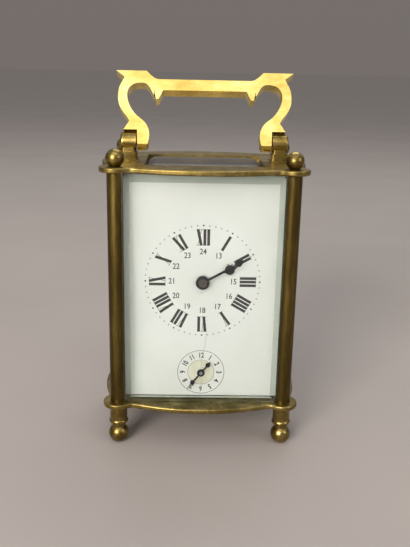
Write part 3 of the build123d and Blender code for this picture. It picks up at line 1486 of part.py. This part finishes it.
arm_front = rear_plate_back + hammer_arm_gap
head_turn = radians(90 - hammer_lean)
head_place = (hammer_place[0] + hammer_length * cos(head_turn),
              hammer_place[1] + hammer_length * sin(head_turn))
with BuildPart() as hammer:
    rod(hammer_place, front_plate_front, front_plate_back + end_shake, pivot_radius)
    rod(hammer_place, front_plate_back + end_shake, arm_front + hammer_arm_thickness, arbor_radius)
    arm_plane = Plane(origin=(hammer_place[0], arm_front + hammer_arm_thickness, hammer_place[1]),
                      x_dir=(cos(head_turn), 0, sin(head_turn)), z_dir=(0, -1, 0))
    with BuildSketch(arm_plane) as arm:
        Circle(hammer_boss_radius)
        with Locations((hammer_length / 2, 0)):
            Rectangle(hammer_length, hammer_arm_width)
    extrude(arm.sketch, amount=hammer_arm_thickness)
    head_front = arm_front - hammer_head_lead
    rod(head_place, head_front, head_front + hammer_head_length, hammer_head_radius)
save(hammer, "hammer")

# Bell: a shallow cup of bell metal on a post behind the rear plate

bell_front = rear_plate_back + bell_standoff
bell_back = bell_front + bell_depth
with BuildPart() as bell:
    with BuildSketch(Plane.XY.offset(bell_place[1])) as cup:
        with BuildLine():
            hole_x = bell_x + screw_radius
            inner_radius = bell_radius - bell_wall
            ThreePointArc((bell_x + bell_radius, bell_front),
                          (bell_x + bell_radius * bell_shoulder_out,
                           bell_front + bell_depth * bell_shoulder_up),
                          (hole_x, bell_back))
            Line((hole_x, bell_back), (hole_x, bell_back - bell_wall))
            ThreePointArc((hole_x, bell_back - bell_wall),
                          (bell_x + inner_radius * bell_shoulder_out,
                           bell_front + (bell_depth - bell_wall) * bell_shoulder_up),
                          (bell_x + inner_radius, bell_front))
            Line((bell_x + bell_radius - bell_wall, bell_front), (bell_x + bell_radius, bell_front))
        make_face()
    revolve(cup.sketch, axis=Axis((bell_x, 0, bell_place[1]), (0, 1, 0)))
save(bell, "bell")

with BuildPart() as bell_post:
    rod(bell_place, rear_plate_front, rear_plate_back, screw_radius)
    rod(bell_place, rear_plate_back, bell_back - bell_wall - bell_post_gap, bell_post_radius)
    nut_front = bell_back + end_shake
    rod(bell_place, bell_back - bell_wall - bell_post_gap, nut_front + bell_nut_height + end_shake,
        screw_radius)
    rod(bell_place, nut_front, nut_front + bell_nut_height, bell_nut_radius)
save(bell_post, "bell_post")
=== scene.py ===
from math import cos, pi, radians, sin

import bmesh
import bpy
from mathutils import Matrix, Vector


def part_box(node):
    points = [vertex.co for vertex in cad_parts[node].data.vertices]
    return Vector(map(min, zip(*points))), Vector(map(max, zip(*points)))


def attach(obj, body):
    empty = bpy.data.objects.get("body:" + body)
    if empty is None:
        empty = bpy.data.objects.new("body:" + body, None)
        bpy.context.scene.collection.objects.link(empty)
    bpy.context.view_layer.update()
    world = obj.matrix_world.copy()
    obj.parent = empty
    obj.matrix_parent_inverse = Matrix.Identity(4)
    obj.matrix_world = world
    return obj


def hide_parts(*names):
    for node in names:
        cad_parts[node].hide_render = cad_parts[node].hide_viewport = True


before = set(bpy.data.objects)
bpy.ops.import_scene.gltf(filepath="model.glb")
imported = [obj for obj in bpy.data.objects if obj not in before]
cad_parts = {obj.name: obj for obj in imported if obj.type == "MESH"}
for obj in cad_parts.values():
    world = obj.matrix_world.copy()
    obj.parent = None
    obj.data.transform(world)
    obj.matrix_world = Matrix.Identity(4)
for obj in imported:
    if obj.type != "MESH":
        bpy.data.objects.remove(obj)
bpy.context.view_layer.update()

MM = 0.001
eye = Vector((-6.23, -292.02, 154.66)) * MM
yaw, pitch, roll = radians(1.4895), radians(16.5002), radians(1.2042)
long_side_sensor = 36.0
lens = 46.74

camera_data = bpy.data.cameras.new("clock_camera")
camera_data.sensor_width = long_side_sensor
camera_data.lens = lens
camera_data.clip_start = 0.01
camera_data.clip_end = 50
camera = bpy.data.objects.new("clock_camera", camera_data)
bpy.context.collection.objects.link(camera)
camera.matrix_world = (Matrix.Translation(eye) @ Matrix.Rotation(-yaw, 4, "Z")
                       @ Matrix.Rotation(pi / 2 - pitch, 4, "X") @ Matrix.Rotation(roll, 4, "Z"))
bpy.context.scene.camera = camera


# The floor is one wide sheet of pale grey paper, matt and faintly mottled, which the
# clock stands on. The room is pale and brighter overhead. Four large soft lights stand
# at the left, above the front, to the right and behind, for the brass to mirror.
def linear(hex_colour):
    """A colour written as sRGB hex, as the linear values that shaders take."""
    parts = [int(hex_colour[place:place + 2], 16) / 255 for place in (1, 3, 5)]
    return [part / 12.92 if part <= 0.04045 else ((part + 0.055) / 1.055) ** 2.4 for part in parts] + [1.0]


def add_node(material, kind, inputs=None, **settings):
    """Adds a node; inputs maps each socket to a value or to another node's output."""
    made = material.node_tree.nodes.new(kind)
    for setting, value in settings.items():
        setattr(made, setting, value)
    for socket, value in (inputs or {}).items():
        if isinstance(value, bpy.types.NodeSocket):
            material.node_tree.links.new(value, made.inputs[socket])
        else:
            made.inputs[socket].default_value = value
    return made


def new_material(name):
    """An empty material, its output node and its Object coordinates."""
    material = bpy.data.materials.new(name)
    material.use_nodes = True
    material.node_tree.nodes.clear()
    output = add_node(material, "ShaderNodeOutputMaterial")
    place = add_node(material, "ShaderNodeTexCoord").outputs["Object"]
    return material, output, place


def colour_ramp(material, factor, stops):
    """A ramp of hex colours at places from 0 to 1."""
    ramp = add_node(material, "ShaderNodeValToRGB", {"Fac": factor})
    bands = ramp.color_ramp.elements
    while len(bands) < len(stops):
        bands.new(0.5)
    for band, (position, colour) in zip(bands, stops):
        band.position = position
        band.color = linear(colour)
    return ramp.outputs["Color"]


def as_piece(name, shape, material):
    """Turns a finished bmesh into an object that stands at the origin."""
    mesh = bpy.data.meshes.new(name)
    shape.to_mesh(mesh)
    shape.free()
    mesh.materials.append(material)
    piece = bpy.data.objects.new(name, mesh)
    bpy.context.collection.objects.link(piece)
    return piece


paper, paper_output, paper_place = new_material("pale_backdrop_paper")
paper_mottle = add_node(paper, "ShaderNodeTexNoise", {"Vector": paper_place, "Scale": 9.0, "Detail": 3.0})
paper_skin = add_node(paper, "ShaderNodeBsdfPrincipled", {
    "Base Color": colour_ramp(paper, paper_mottle.outputs["Fac"], [(0.3, "#958D89"), (0.7, "#9A928E")]),
    "Roughness": 0.85})
paper.node_tree.links.new(paper_skin.outputs["BSDF"], paper_output.inputs["Surface"])

floor_half_width = 12.0
floor_shape = bmesh.new()
bmesh.ops.create_grid(floor_shape, x_segments=1, y_segments=1, size=floor_half_width)
floor = as_piece("floor", floor_shape, paper)

room = bpy.data.worlds.new("pale_room")
room.use_nodes = True
room.node_tree.nodes.clear()
room_output = add_node(room, "ShaderNodeOutputWorld")
room_direction = add_node(room, "ShaderNodeTexCoord").outputs["Generated"]
room_height = add_node(room, "ShaderNodeSeparateXYZ", {"Vector": room_direction}).outputs["Z"]
room_colour = colour_ramp(room, room_height, [
    (0.0, "#9A918C"), (0.15, "#9C938E"), (0.6, "#F2F0EE"), (1.0, "#FFFFFF")])
room_light = add_node(room, "ShaderNodeBackground", {"Color": room_colour, "Strength": 0.55})
room.node_tree.links.new(room_light.outputs["Background"], room_output.inputs["Surface"])
bpy.context.scene.world = room
bpy.context.scene.view_settings.view_transform = "Standard"


clock_middle = Vector((0, 0, 0.07))


def soft_light(name, place, size, watts, tint="#FFFFFF"):
    """A square studio light that faces the middle of the clock."""
    light = bpy.data.lights.new(name, "AREA")
    light.size = size
    light.energy = watts
    light.color = linear(tint)[:3]
    lamp = bpy.data.objects.new(name, light)
    bpy.context.collection.objects.link(lamp)
    lamp.location = place
    lamp.rotation_mode = "QUATERNION"
    lamp.rotation_quaternion = (clock_middle - Vector(place)).to_track_quat("-Z", "Y")


soft_light("window_left", (-0.6, -1.2, 0.5), 0.6, 28.0, "#FFFAF2")
soft_light("ceiling_front", (-0.05, -0.6, 0.95), 1.0, 3.5, "#FFFCF6")
soft_light("fill_right", (0.9, -0.6, 0.5), 0.5, 2.5, "#F4F7FF")
soft_light("back_top", (0.1, 0.6, 1.0), 0.7, 4.0, "#FFFFFF")


# The base and top plates are cast brass, filed and polished round their rims, and aged:
# brown tarnish lies in the flats and olive spots have come up through old lacquer,
# while the rounded edges are still rubbed bright. The screwed-on finials match them.
def brass(name, tarnish, metal, polish, cloud_mm, streak=(1, 1, 1), rough=(0.22, 0.5), wear=(0.3, 0.5, 0.72)):
    """Brass under its own tarnish. cloud_mm is the width of the larger patches."""
    material, output, place = new_material(name)
    drawn_out = add_node(material, "ShaderNodeMapping", {"Vector": place, "Scale": streak}).outputs["Vector"]
    clouds = add_node(material, "ShaderNodeTexNoise", {
        "Vector": drawn_out, "Scale": 1 / (cloud_mm * MM), "Detail": 4.0, "Roughness": 0.55})
    spots = add_node(material, "ShaderNodeTexNoise", {
        "Vector": drawn_out, "Scale": 6 / (cloud_mm * MM), "Detail": 6.0, "Roughness": 0.65})
    blend = add_node(material, "ShaderNodeMix", {
        "Factor": 0.35, "A": clouds.outputs["Fac"], "B": spots.outputs["Fac"]}, data_type="FLOAT")
    patina = blend.outputs["Result"]
    dull = add_node(material, "ShaderNodeMapRange", {
        "Value": patina, "From Min": wear[0], "From Max": wear[2], "To Min": rough[1], "To Max": rough[0]})
    # File marks are about 0.15 mm apart on the real metal and are drawn at 0.4 mm to show.
    marks = add_node(material, "ShaderNodeTexNoise", {
        "Vector": drawn_out, "Scale": 1 / (0.4 * MM), "Detail": 2.0})
    relief = add_node(material, "ShaderNodeBump", {
        "Height": marks.outputs["Fac"], "Strength": 0.12, "Distance": 0.05 * MM})
    skin = add_node(material, "ShaderNodeBsdfPrincipled", {
        "Base Color": colour_ramp(material, patina, [
            (wear[0], tarnish), (wear[1], metal), (wear[2], polish)]),
        "Metallic": 1.0, "Roughness": dull.outputs["Result"], "Normal": relief.outputs["Normal"]})
    material.node_tree.links.new(skin.outputs["BSDF"], output.inputs["Surface"])
    return material


def dress(material, *nodes):
    """Gives CAD nodes a material."""
    for name in nodes:
        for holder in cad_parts[name].material_slots:
            holder.material = material


plate_brass = brass("aged_plate_brass", "#463A1E", "#7F6D3C", "#BFAC70", 9)
dress(plate_brass, "base_plate", "top_plate")


# The four columns are drawn brass rod, cut to length and grooved for the glasses. They
# are brown brass with tarnish, coloured darker than the plates as painted shade for the dim
# room that their upright sides mirror. They are a little lighter where hands have rubbed
# them, and their streaks run up and down as the rod was drawn.
column_brass = brass("drawn_column_brass_with_painted_shade", "#2C2411", "#574823", "#86743F", 5, streak=(1, 1, 0.12),
                     rough=(0.28, 0.48))
dress(column_brass, "column_front_left", "column_front_right", "column_rear_left", "column_rear_right")


# The feet and the ball finials are turned brass, screwed up and down into the columns.
# The balls are brown with rubbed crowns, and the ring of each foot has a bright edge.
turned_brass = brass("turned_foot_brass", "#463A1D", "#7C6938", "#BDA96B", 6, streak=(1, 1, 1.6),
                     rough=(0.2, 0.42))
dress(turned_brass, "feet", "finials")


# The panes are plate glass with a wide ground and polished bevel all round. They slide
# into the grooves of the columns and plates, and the top one lies in a rebate on clips.
def plate_glass(name, tint):
    """Clear glass, with painted grey-green shade on its ground bevels, which face no axis squarely."""
    material, output, place = new_material(name)
    facing = add_node(material, "ShaderNodeNewGeometry").outputs["True Normal"]
    sizes = add_node(material, "ShaderNodeVectorMath", {0: facing}, operation="ABSOLUTE").outputs["Vector"]
    parts = add_node(material, "ShaderNodeSeparateXYZ", {"Vector": sizes})
    wider = add_node(material, "ShaderNodeMath", {
        0: parts.outputs["X"], 1: parts.outputs["Y"]}, operation="MAXIMUM")
    widest = add_node(material, "ShaderNodeMath", {
        0: wider.outputs[0], 1: parts.outputs["Z"]}, operation="MAXIMUM")
    # Faces square to no axis, the bevels, get a darker grey-green colour: painted shade and reflection for
    # the dark bands along them.
    squareness = add_node(material, "ShaderNodeMapRange", {
        "Value": widest.outputs[0], "From Min": 0.985, "From Max": 0.998})
    skin = add_node(material, "ShaderNodeBsdfPrincipled", {
        "Base Color": colour_ramp(material, squareness.outputs["Result"], [(0.0, "#B4BFB4"), (1.0, tint)]),
        "Roughness": 0.0, "IOR": 1.5, "Transmission Weight": 1.0})
    material.node_tree.links.new(skin.outputs["BSDF"], output.inputs["Surface"])
    return material


case_glass = plate_glass("bevelled_plate_glass", "#FAFEFC")
dress(case_glass, "front_glass", "side_glasses", "top_glass", "door_glass")


# The handle is sawn from 6 mm brass plate and polished bright, with a satin grain along
# its bar. Its two brackets are cast brass, each with a knuckle that holds a steel pin.
handle_brass = brass("polished_handle_brass", "#B89B4A", "#E2C972", "#F8E9AE", 12, streak=(0.5, 1, 1),
                     rough=(0.2, 0.36))
edge_ease = 0.28
weld_distance = 0.002
handle_shape = bmesh.new()
handle_shape.from_mesh(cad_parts["handle"].data)
bmesh.ops.remove_doubles(handle_shape, verts=handle_shape.verts, dist=weld_distance * MM)
bmesh.ops.dissolve_limit(handle_shape, angle_limit=radians(1), verts=handle_shape.verts,
                         edges=handle_shape.edges)
for edge in handle_shape.edges:
    edge.smooth = edge.calc_face_angle(0) < radians(30)
for face in handle_shape.faces:
    face.smooth = True
carrying_handle = as_piece("carrying_handle", handle_shape, handle_brass)
handle_edges = carrying_handle.modifiers.new("eased_edges", "BEVEL")
handle_edges.width = edge_ease * MM
handle_edges.segments = 2
handle_edges.limit_method = "ANGLE"
handle_edges.angle_limit = radians(35)
handle_edges.harden_normals = True
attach(carrying_handle, "handle")
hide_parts("handle")
bracket_brass = brass("bracket_brass", "#54451F", "#927D43", "#CDB878", 5, rough=(0.2, 0.4))
dress(bracket_brass, "handle_brackets", "handle_pins", "door_latch")


# The rear door is a flat brass frame, filed from sheet and turning on two short pins,
# with its own bevelled pane let in from the inside.
dress(plate_brass, "door_frame", "door_pins")


# The dial is white enamel, fired on copper sheet: glossy, very slightly uneven, and a
# touch cooler in colour than paper.
enamel, enamel_output, enamel_place = new_material("fired_white_enamel")
enamel_cloud = add_node(enamel, "ShaderNodeTexNoise", {"Vector": enamel_place, "Scale": 40.0, "Detail": 3.0})
# The fired surface rolls by a few micrometres over about 8 mm, which bends its reflections.
enamel_roll = add_node(enamel, "ShaderNodeTexNoise", {
    "Vector": enamel_place, "Scale": 1 / (8 * MM), "Detail": 1.0})
enamel_relief = add_node(enamel, "ShaderNodeBump", {
    "Height": enamel_roll.outputs["Fac"], "Strength": 0.2, "Distance": 0.02 * MM})
enamel_skin = add_node(enamel, "ShaderNodeBsdfPrincipled", {
    "Base Color": colour_ramp(enamel, enamel_cloud.outputs["Fac"], [(0.35, "#EDEDEB"), (0.65, "#F2F2F1")]),
    "Roughness": 0.12, "IOR": 1.5, "Normal": enamel_relief.outputs["Normal"]})
enamel.node_tree.links.new(enamel_skin.outputs["BSDF"], enamel_output.inputs["Surface"])
dress(enamel, "dial")


# The hour figures are painted on the enamel in black and fired again, so they stand a
# hair proud of it. They are tall roman figures set round the dial with their feet to
# the middle, each with thick and thin strokes and fine serifs, and four is written IIII.
dial_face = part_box("dial")[0].y / MM
main_x, main_z = 0.0, 70.1
figure_foot, figure_height = 15.0, 6.6
thick_stroke, thin_stroke, serif_stroke = 1.12, 0.17, 0.12
stroke_pitch = 1.5
paint_thickness = 0.03


def stroke(shape, start, end, width, frame_matrix):
    """One painted stroke of even width between two places on the dial, in millimetres."""
    run = Vector((end[0] - start[0], end[1] - start[1]))
    middle = Vector(((start[0] + end[0]) / 2, (start[1] + end[1]) / 2))
    turn = Matrix.Rotation(run.angle_signed(Vector((1, 0))), 4, "Z")
    size = Matrix.Diagonal((run.length, width, paint_thickness, 1))
    bmesh.ops.create_cube(shape, size=1.0,
                          matrix=frame_matrix @ Matrix.Translation((middle.x, middle.y, 0)) @ turn @ size)


def on_dial(centre_z, radius, degrees_round, upright=False):
    """The frame of something painted at a radius and an angle round a dial centre."""
    turn = radians(degrees_round)
    stand = Matrix.Rotation(pi / 2, 4, "X")
    about = Matrix.Identity(4) if upright else Matrix.Rotation(-turn, 4, "Z")
    place = Matrix.Translation((radius * sin(turn), radius * cos(turn), 0)) @ about
    centre = Matrix.Translation((main_x, dial_face - paint_thickness / 2, centre_z))
    return Matrix.Scale(MM, 4) @ centre @ stand @ place


strokes_wide = {"I": 1.0, "V": 1.7, "X": 1.75}


def roman_figure(shape, text, frame_matrix):
    """A roman figure, standing on its foot line and centred on it."""
    width = sum(strokes_wide[letter] for letter in text) * stroke_pitch
    x = -width / 2
    for letter in text:
        step = strokes_wide[letter] * stroke_pitch
        middle = x + step / 2
        half = step / 2 - thick_stroke * 0.55
        if letter == "I":
            stroke(shape, (middle, 0), (middle, figure_height), thick_stroke, frame_matrix)
        elif letter == "V":
            stroke(shape, (middle - half, figure_height), (middle, 0), thick_stroke, frame_matrix)
            stroke(shape, (middle, 0), (middle + half, figure_height), thin_stroke, frame_matrix)
        else:
            stroke(shape, (middle - half, figure_height), (middle + half, 0), thick_stroke, frame_matrix)
            stroke(shape, (middle - half, 0), (middle + half, figure_height), thin_stroke, frame_matrix)
        x += step
    for level in (serif_stroke / 2, figure_height - serif_stroke / 2):
        stroke(shape, (-width / 2, level), (width / 2, level), serif_stroke, frame_matrix)


ink, ink_output, ink_place = new_material("fired_black_paint")
ink_wear = add_node(ink, "ShaderNodeTexNoise", {"Vector": ink_place, "Scale": 1 / (1.5 * MM), "Detail": 3.0})
ink_skin = add_node(ink, "ShaderNodeBsdfPrincipled", {
    "Base Color": colour_ramp(ink, ink_wear.outputs["Fac"], [(0.35, "#17191A"), (0.75, "#2E3130")]),
    "Roughness": 0.3})
ink.node_tree.links.new(ink_skin.outputs["BSDF"], ink_output.inputs["Surface"])

hour_shape = bmesh.new()
for hour, text in enumerate(("I", "II", "III", "IIII", "V", "VI", "VII", "VIII", "IX", "X", "XI", "XII"), 1):
    roman_figure(hour_shape, text, on_dial(main_z, figure_foot, 30 * hour))
hour_figures = as_piece("hour_figures", hour_shape, ink)
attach(hour_figures, "case")


# Round the figures runs a ring of sixty painted minute dots, larger at each hour.
dot_ring = 23.1
small_dot, large_dot = 0.24, 0.36
dot_shape = bmesh.new()
for minute in range(60):
    dot_radius = small_dot if minute % 5 else large_dot
    bmesh.ops.create_cone(dot_shape, cap_ends=True, segments=10, radius1=dot_radius, radius2=dot_radius,
                          depth=paint_thickness, matrix=on_dial(main_z, dot_ring, 6 * minute))
minute_dots = as_piece("minute_dots", dot_shape, ink)
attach(minute_dots, "case")


# Inside the hour figures stand small upright figures for the afternoon hours, 13 to 24.
afternoon_ring = 12.4
afternoon_height = 2.3


def written(shape, text, height, frame_matrix, squeeze=0.85, boldness=0.0):
    """Small painted figures, centred, of a height in millimetres."""
    curve = bpy.data.curves.new("figures", "FONT")
    curve.body = text
    curve.align_x = "CENTER"
    curve.align_y = "CENTER"
    curve.resolution_u = 3
    curve.offset = boldness
    holder = bpy.data.objects.new("figures", curve)
    mesh = bpy.data.meshes.new_from_object(holder)
    capital_height = 0.69
    scale = height / capital_height
    mesh.transform(frame_matrix @ Matrix.Diagonal((scale * squeeze, scale, 1, 1))
                   @ Matrix.Translation((0, 0, paint_thickness)))
    shape.from_mesh(mesh)
    bpy.data.meshes.remove(mesh)
    bpy.data.objects.remove(holder)
    bpy.data.curves.remove(curve)


afternoon_shape = bmesh.new()
for hour in range(13, 25):
    written(afternoon_shape, str(hour), afternoon_height,
            on_dial(main_z, afternoon_ring, 30 * hour, upright=True), boldness=0.012)
afternoon_figures = as_piece("afternoon_figures", afternoon_shape, ink)
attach(afternoon_figures, "case")


# The small dial below sets the alarm. It has a cream middle, two fine rings and figures
# from 1 to 12 set round it with their feet to the middle.
alarm_z = 30.4
alarm_ring, alarm_inner_ring = 9.7, 5.5
alarm_figure_ring = 7.5
alarm_figure_height = 2.15
ring_line = 0.12


def painted_ring(shape, centre_z, radius, width):
    """A fine painted circle of a width in millimetres."""
    circle = bmesh.ops.create_circle(shape, segments=96, radius=radius - width / 2, cap_ends=False)
    edges = list({edge for vertex in circle["verts"] for edge in vertex.link_edges})
    grown = bmesh.ops.extrude_edge_only(shape, edges=edges)
    outer = [item for item in grown["geom"] if isinstance(item, bmesh.types.BMVert)]
    bmesh.ops.scale(shape, vec=(1 + width / radius,) * 2 + (1,), verts=outer)
    bmesh.ops.transform(shape, matrix=on_dial(centre_z, 0, 0) @ Matrix.Translation((0, 0, paint_thickness)),
                        verts=circle["verts"] + outer)


alarm_shape = bmesh.new()
painted_ring(alarm_shape, alarm_z, alarm_ring, ring_line * 1.6)
painted_ring(alarm_shape, alarm_z, alarm_inner_ring, ring_line)
for hour in range(1, 13):
    written(alarm_shape, str(hour), alarm_figure_height, on_dial(alarm_z, alarm_figure_ring, 30 * hour),
            squeeze=0.75, boldness=0.03)
alarm_figures = as_piece("alarm_figures", alarm_shape, ink)
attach(alarm_figures, "case")

cream, cream_output, cream_place = new_material("cream_enamel")
cream_cloud = add_node(cream, "ShaderNodeTexNoise", {
    "Vector": cream_place, "Scale": 1 / (3 * MM), "Detail": 3.0})
cream_skin = add_node(cream, "ShaderNodeBsdfPrincipled", {
    "Base Color": colour_ramp(cream, cream_cloud.outputs["Fac"], [(0.3, "#DEDBC4"), (0.7, "#E9E6D4")]),
    "Roughness": 0.2})
cream.node_tree.links.new(cream_skin.outputs["BSDF"], cream_output.inputs["Surface"])
cream_shape = bmesh.new()
bmesh.ops.create_cone(cream_shape, cap_ends=True, segments=72, radius1=alarm_inner_ring,
                      radius2=alarm_inner_ring, depth=paint_thickness, matrix=on_dial(alarm_z, 0, 0))
alarm_middle = as_piece("alarm_middle", cream_shape, cream)
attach(alarm_middle, "case")


# The enamel has one old hairline, which runs down from below the main figures through
# the alarm dial. Dirt has settled in it, so it shows as a fine grey-brown line.
dirt, dirt_output, dirt_place = new_material("hairline_dirt")
dirt_cloud = add_node(dirt, "ShaderNodeTexNoise", {
    "Vector": dirt_place, "Scale": 1 / (2 * MM), "Detail": 2.0})
dirt_skin = add_node(dirt, "ShaderNodeBsdfPrincipled", {
    "Base Color": colour_ramp(dirt, dirt_cloud.outputs["Fac"], [(0.35, "#8F8B7C"), (0.65, "#C4C1B4")]),
    "Roughness": 0.7})
dirt.node_tree.links.new(dirt_skin.outputs["BSDF"], dirt_output.inputs["Surface"])
hairline_width = 0.12
hairline = [(2.1, 18.6), (1.7, 13.4), (1.2, 10.4), (0.1, 5.6), (0.6, 0.8), (0.4, -5.2), (-0.2, -9.4)]
hairline_shape = bmesh.new()
for start, end in zip(hairline, hairline[1:]):
    stroke(hairline_shape, start, end, hairline_width,
           on_dial(alarm_z, 0, 0) @ Matrix.Translation((0, 0, paint_thickness)))
enamel_hairline = as_piece("enamel_hairline", hairline_shape, dirt)
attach(enamel_hairline, "case")


# The hands are steel, filed out and blued so dark that they look black, and pressed on
# their pipes. A small worn steel collar holds the minute hand.
def steel(name, dark, light, roughness, grain_mm):
    """Steel with a fine grain, plain or coloured by heat."""
    material, output, place = new_material(name)
    grain = add_node(material, "ShaderNodeTexNoise", {
        "Vector": place, "Scale": 1 / (grain_mm * MM), "Detail": 4.0})
    relief = add_node(material, "ShaderNodeBump", {
        "Height": grain.outputs["Fac"], "Strength": 0.1, "Distance": 0.03 * MM})
    skin = add_node(material, "ShaderNodeBsdfPrincipled", {
        "Base Color": colour_ramp(material, grain.outputs["Fac"], [(0.3, dark), (0.7, light)]),
        "Metallic": 1.0, "Roughness": roughness, "Normal": relief.outputs["Normal"]})
    material.node_tree.links.new(skin.outputs["BSDF"], output.inputs["Surface"])
    return material


dark_blued = steel("dark_blued_hand_steel", "#15171B", "#2A2C30", 0.35, 1.0)
dress(dark_blued, "hour_hand", "minute_hand", "alarm_hand")
worn_steel = steel("worn_collar_steel", "#4A4640", "#6A655C", 0.4, 0.8)
dress(worn_steel, "hand_nut")
# The end of the centre arbor is steel, domed over, and shows in the middle of the collar.
arbor_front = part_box("centre_wheel")[0].y
dome_radius = 0.75
dome_flatness = 0.3
dome_shape = bmesh.new()
bmesh.ops.create_uvsphere(dome_shape, u_segments=24, v_segments=12, radius=dome_radius * MM,
                          matrix=Matrix.Translation((main_x * MM, arbor_front, main_z * MM))
                          @ Matrix.Diagonal((1, dome_flatness, 1, 1)))
for face in dome_shape.faces:
    face.smooth = True
arbor_end = as_piece("arbor_end", dome_shape, worn_steel)
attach(arbor_end, "centre")


# The movement's plates, pillars and bridges are rolled brass, stoned flat and left with
# a fine straight grain. Its wheels are hard sheet brass, crossed out and polished.
grained_brass = brass("grained_movement_brass", "#9A7B3C", "#C9A85C", "#E3C883", 10, streak=(1, 1, 0.2),
                      rough=(0.28, 0.42))
dress(grained_brass, "front_movement_plate", "rear_movement_plate", "pillars", "platform", "balance_cock",
      "bell_post", "top_glass_clips", "dial_feet", "barrel_cover", "going_barrel", "alarm_barrel")
wheel_brass = brass("wheel_brass", "#A98A45", "#D6B769", "#EFD793", 6, rough=(0.2, 0.34))
dress(wheel_brass, "centre_wheel", "third_wheel", "contrate_wheel", "escape_wheel", "minute_wheel",
      "hour_wheel", "alarm_idler", "alarm_wheel", "balance_wheel", "alarm_escape_wheel", "bell")


# Arbors, ratchet, click and springs are steel: hardened, tempered and stoned grey, with
# the screws, the click spring and the hairspring blued by heat.
stoned_steel = steel("stoned_arbor_steel", "#77777A", "#A6A6A8", 0.3, 0.8)
dress(stoned_steel, "winding_arbor", "alarm_winding_arbor", "alarm_setting_arbor", "ratchet_wheel", "click",
      "cannon_pinion", "lever", "regulator", "mainspring", "hammer", "bracket_nuts")
heat_blued = steel("heat_blued_screw_steel", "#16234F", "#2C4590", 0.25, 0.8)
dress(heat_blued, "movement_screws", "click_spring", "hairspring")
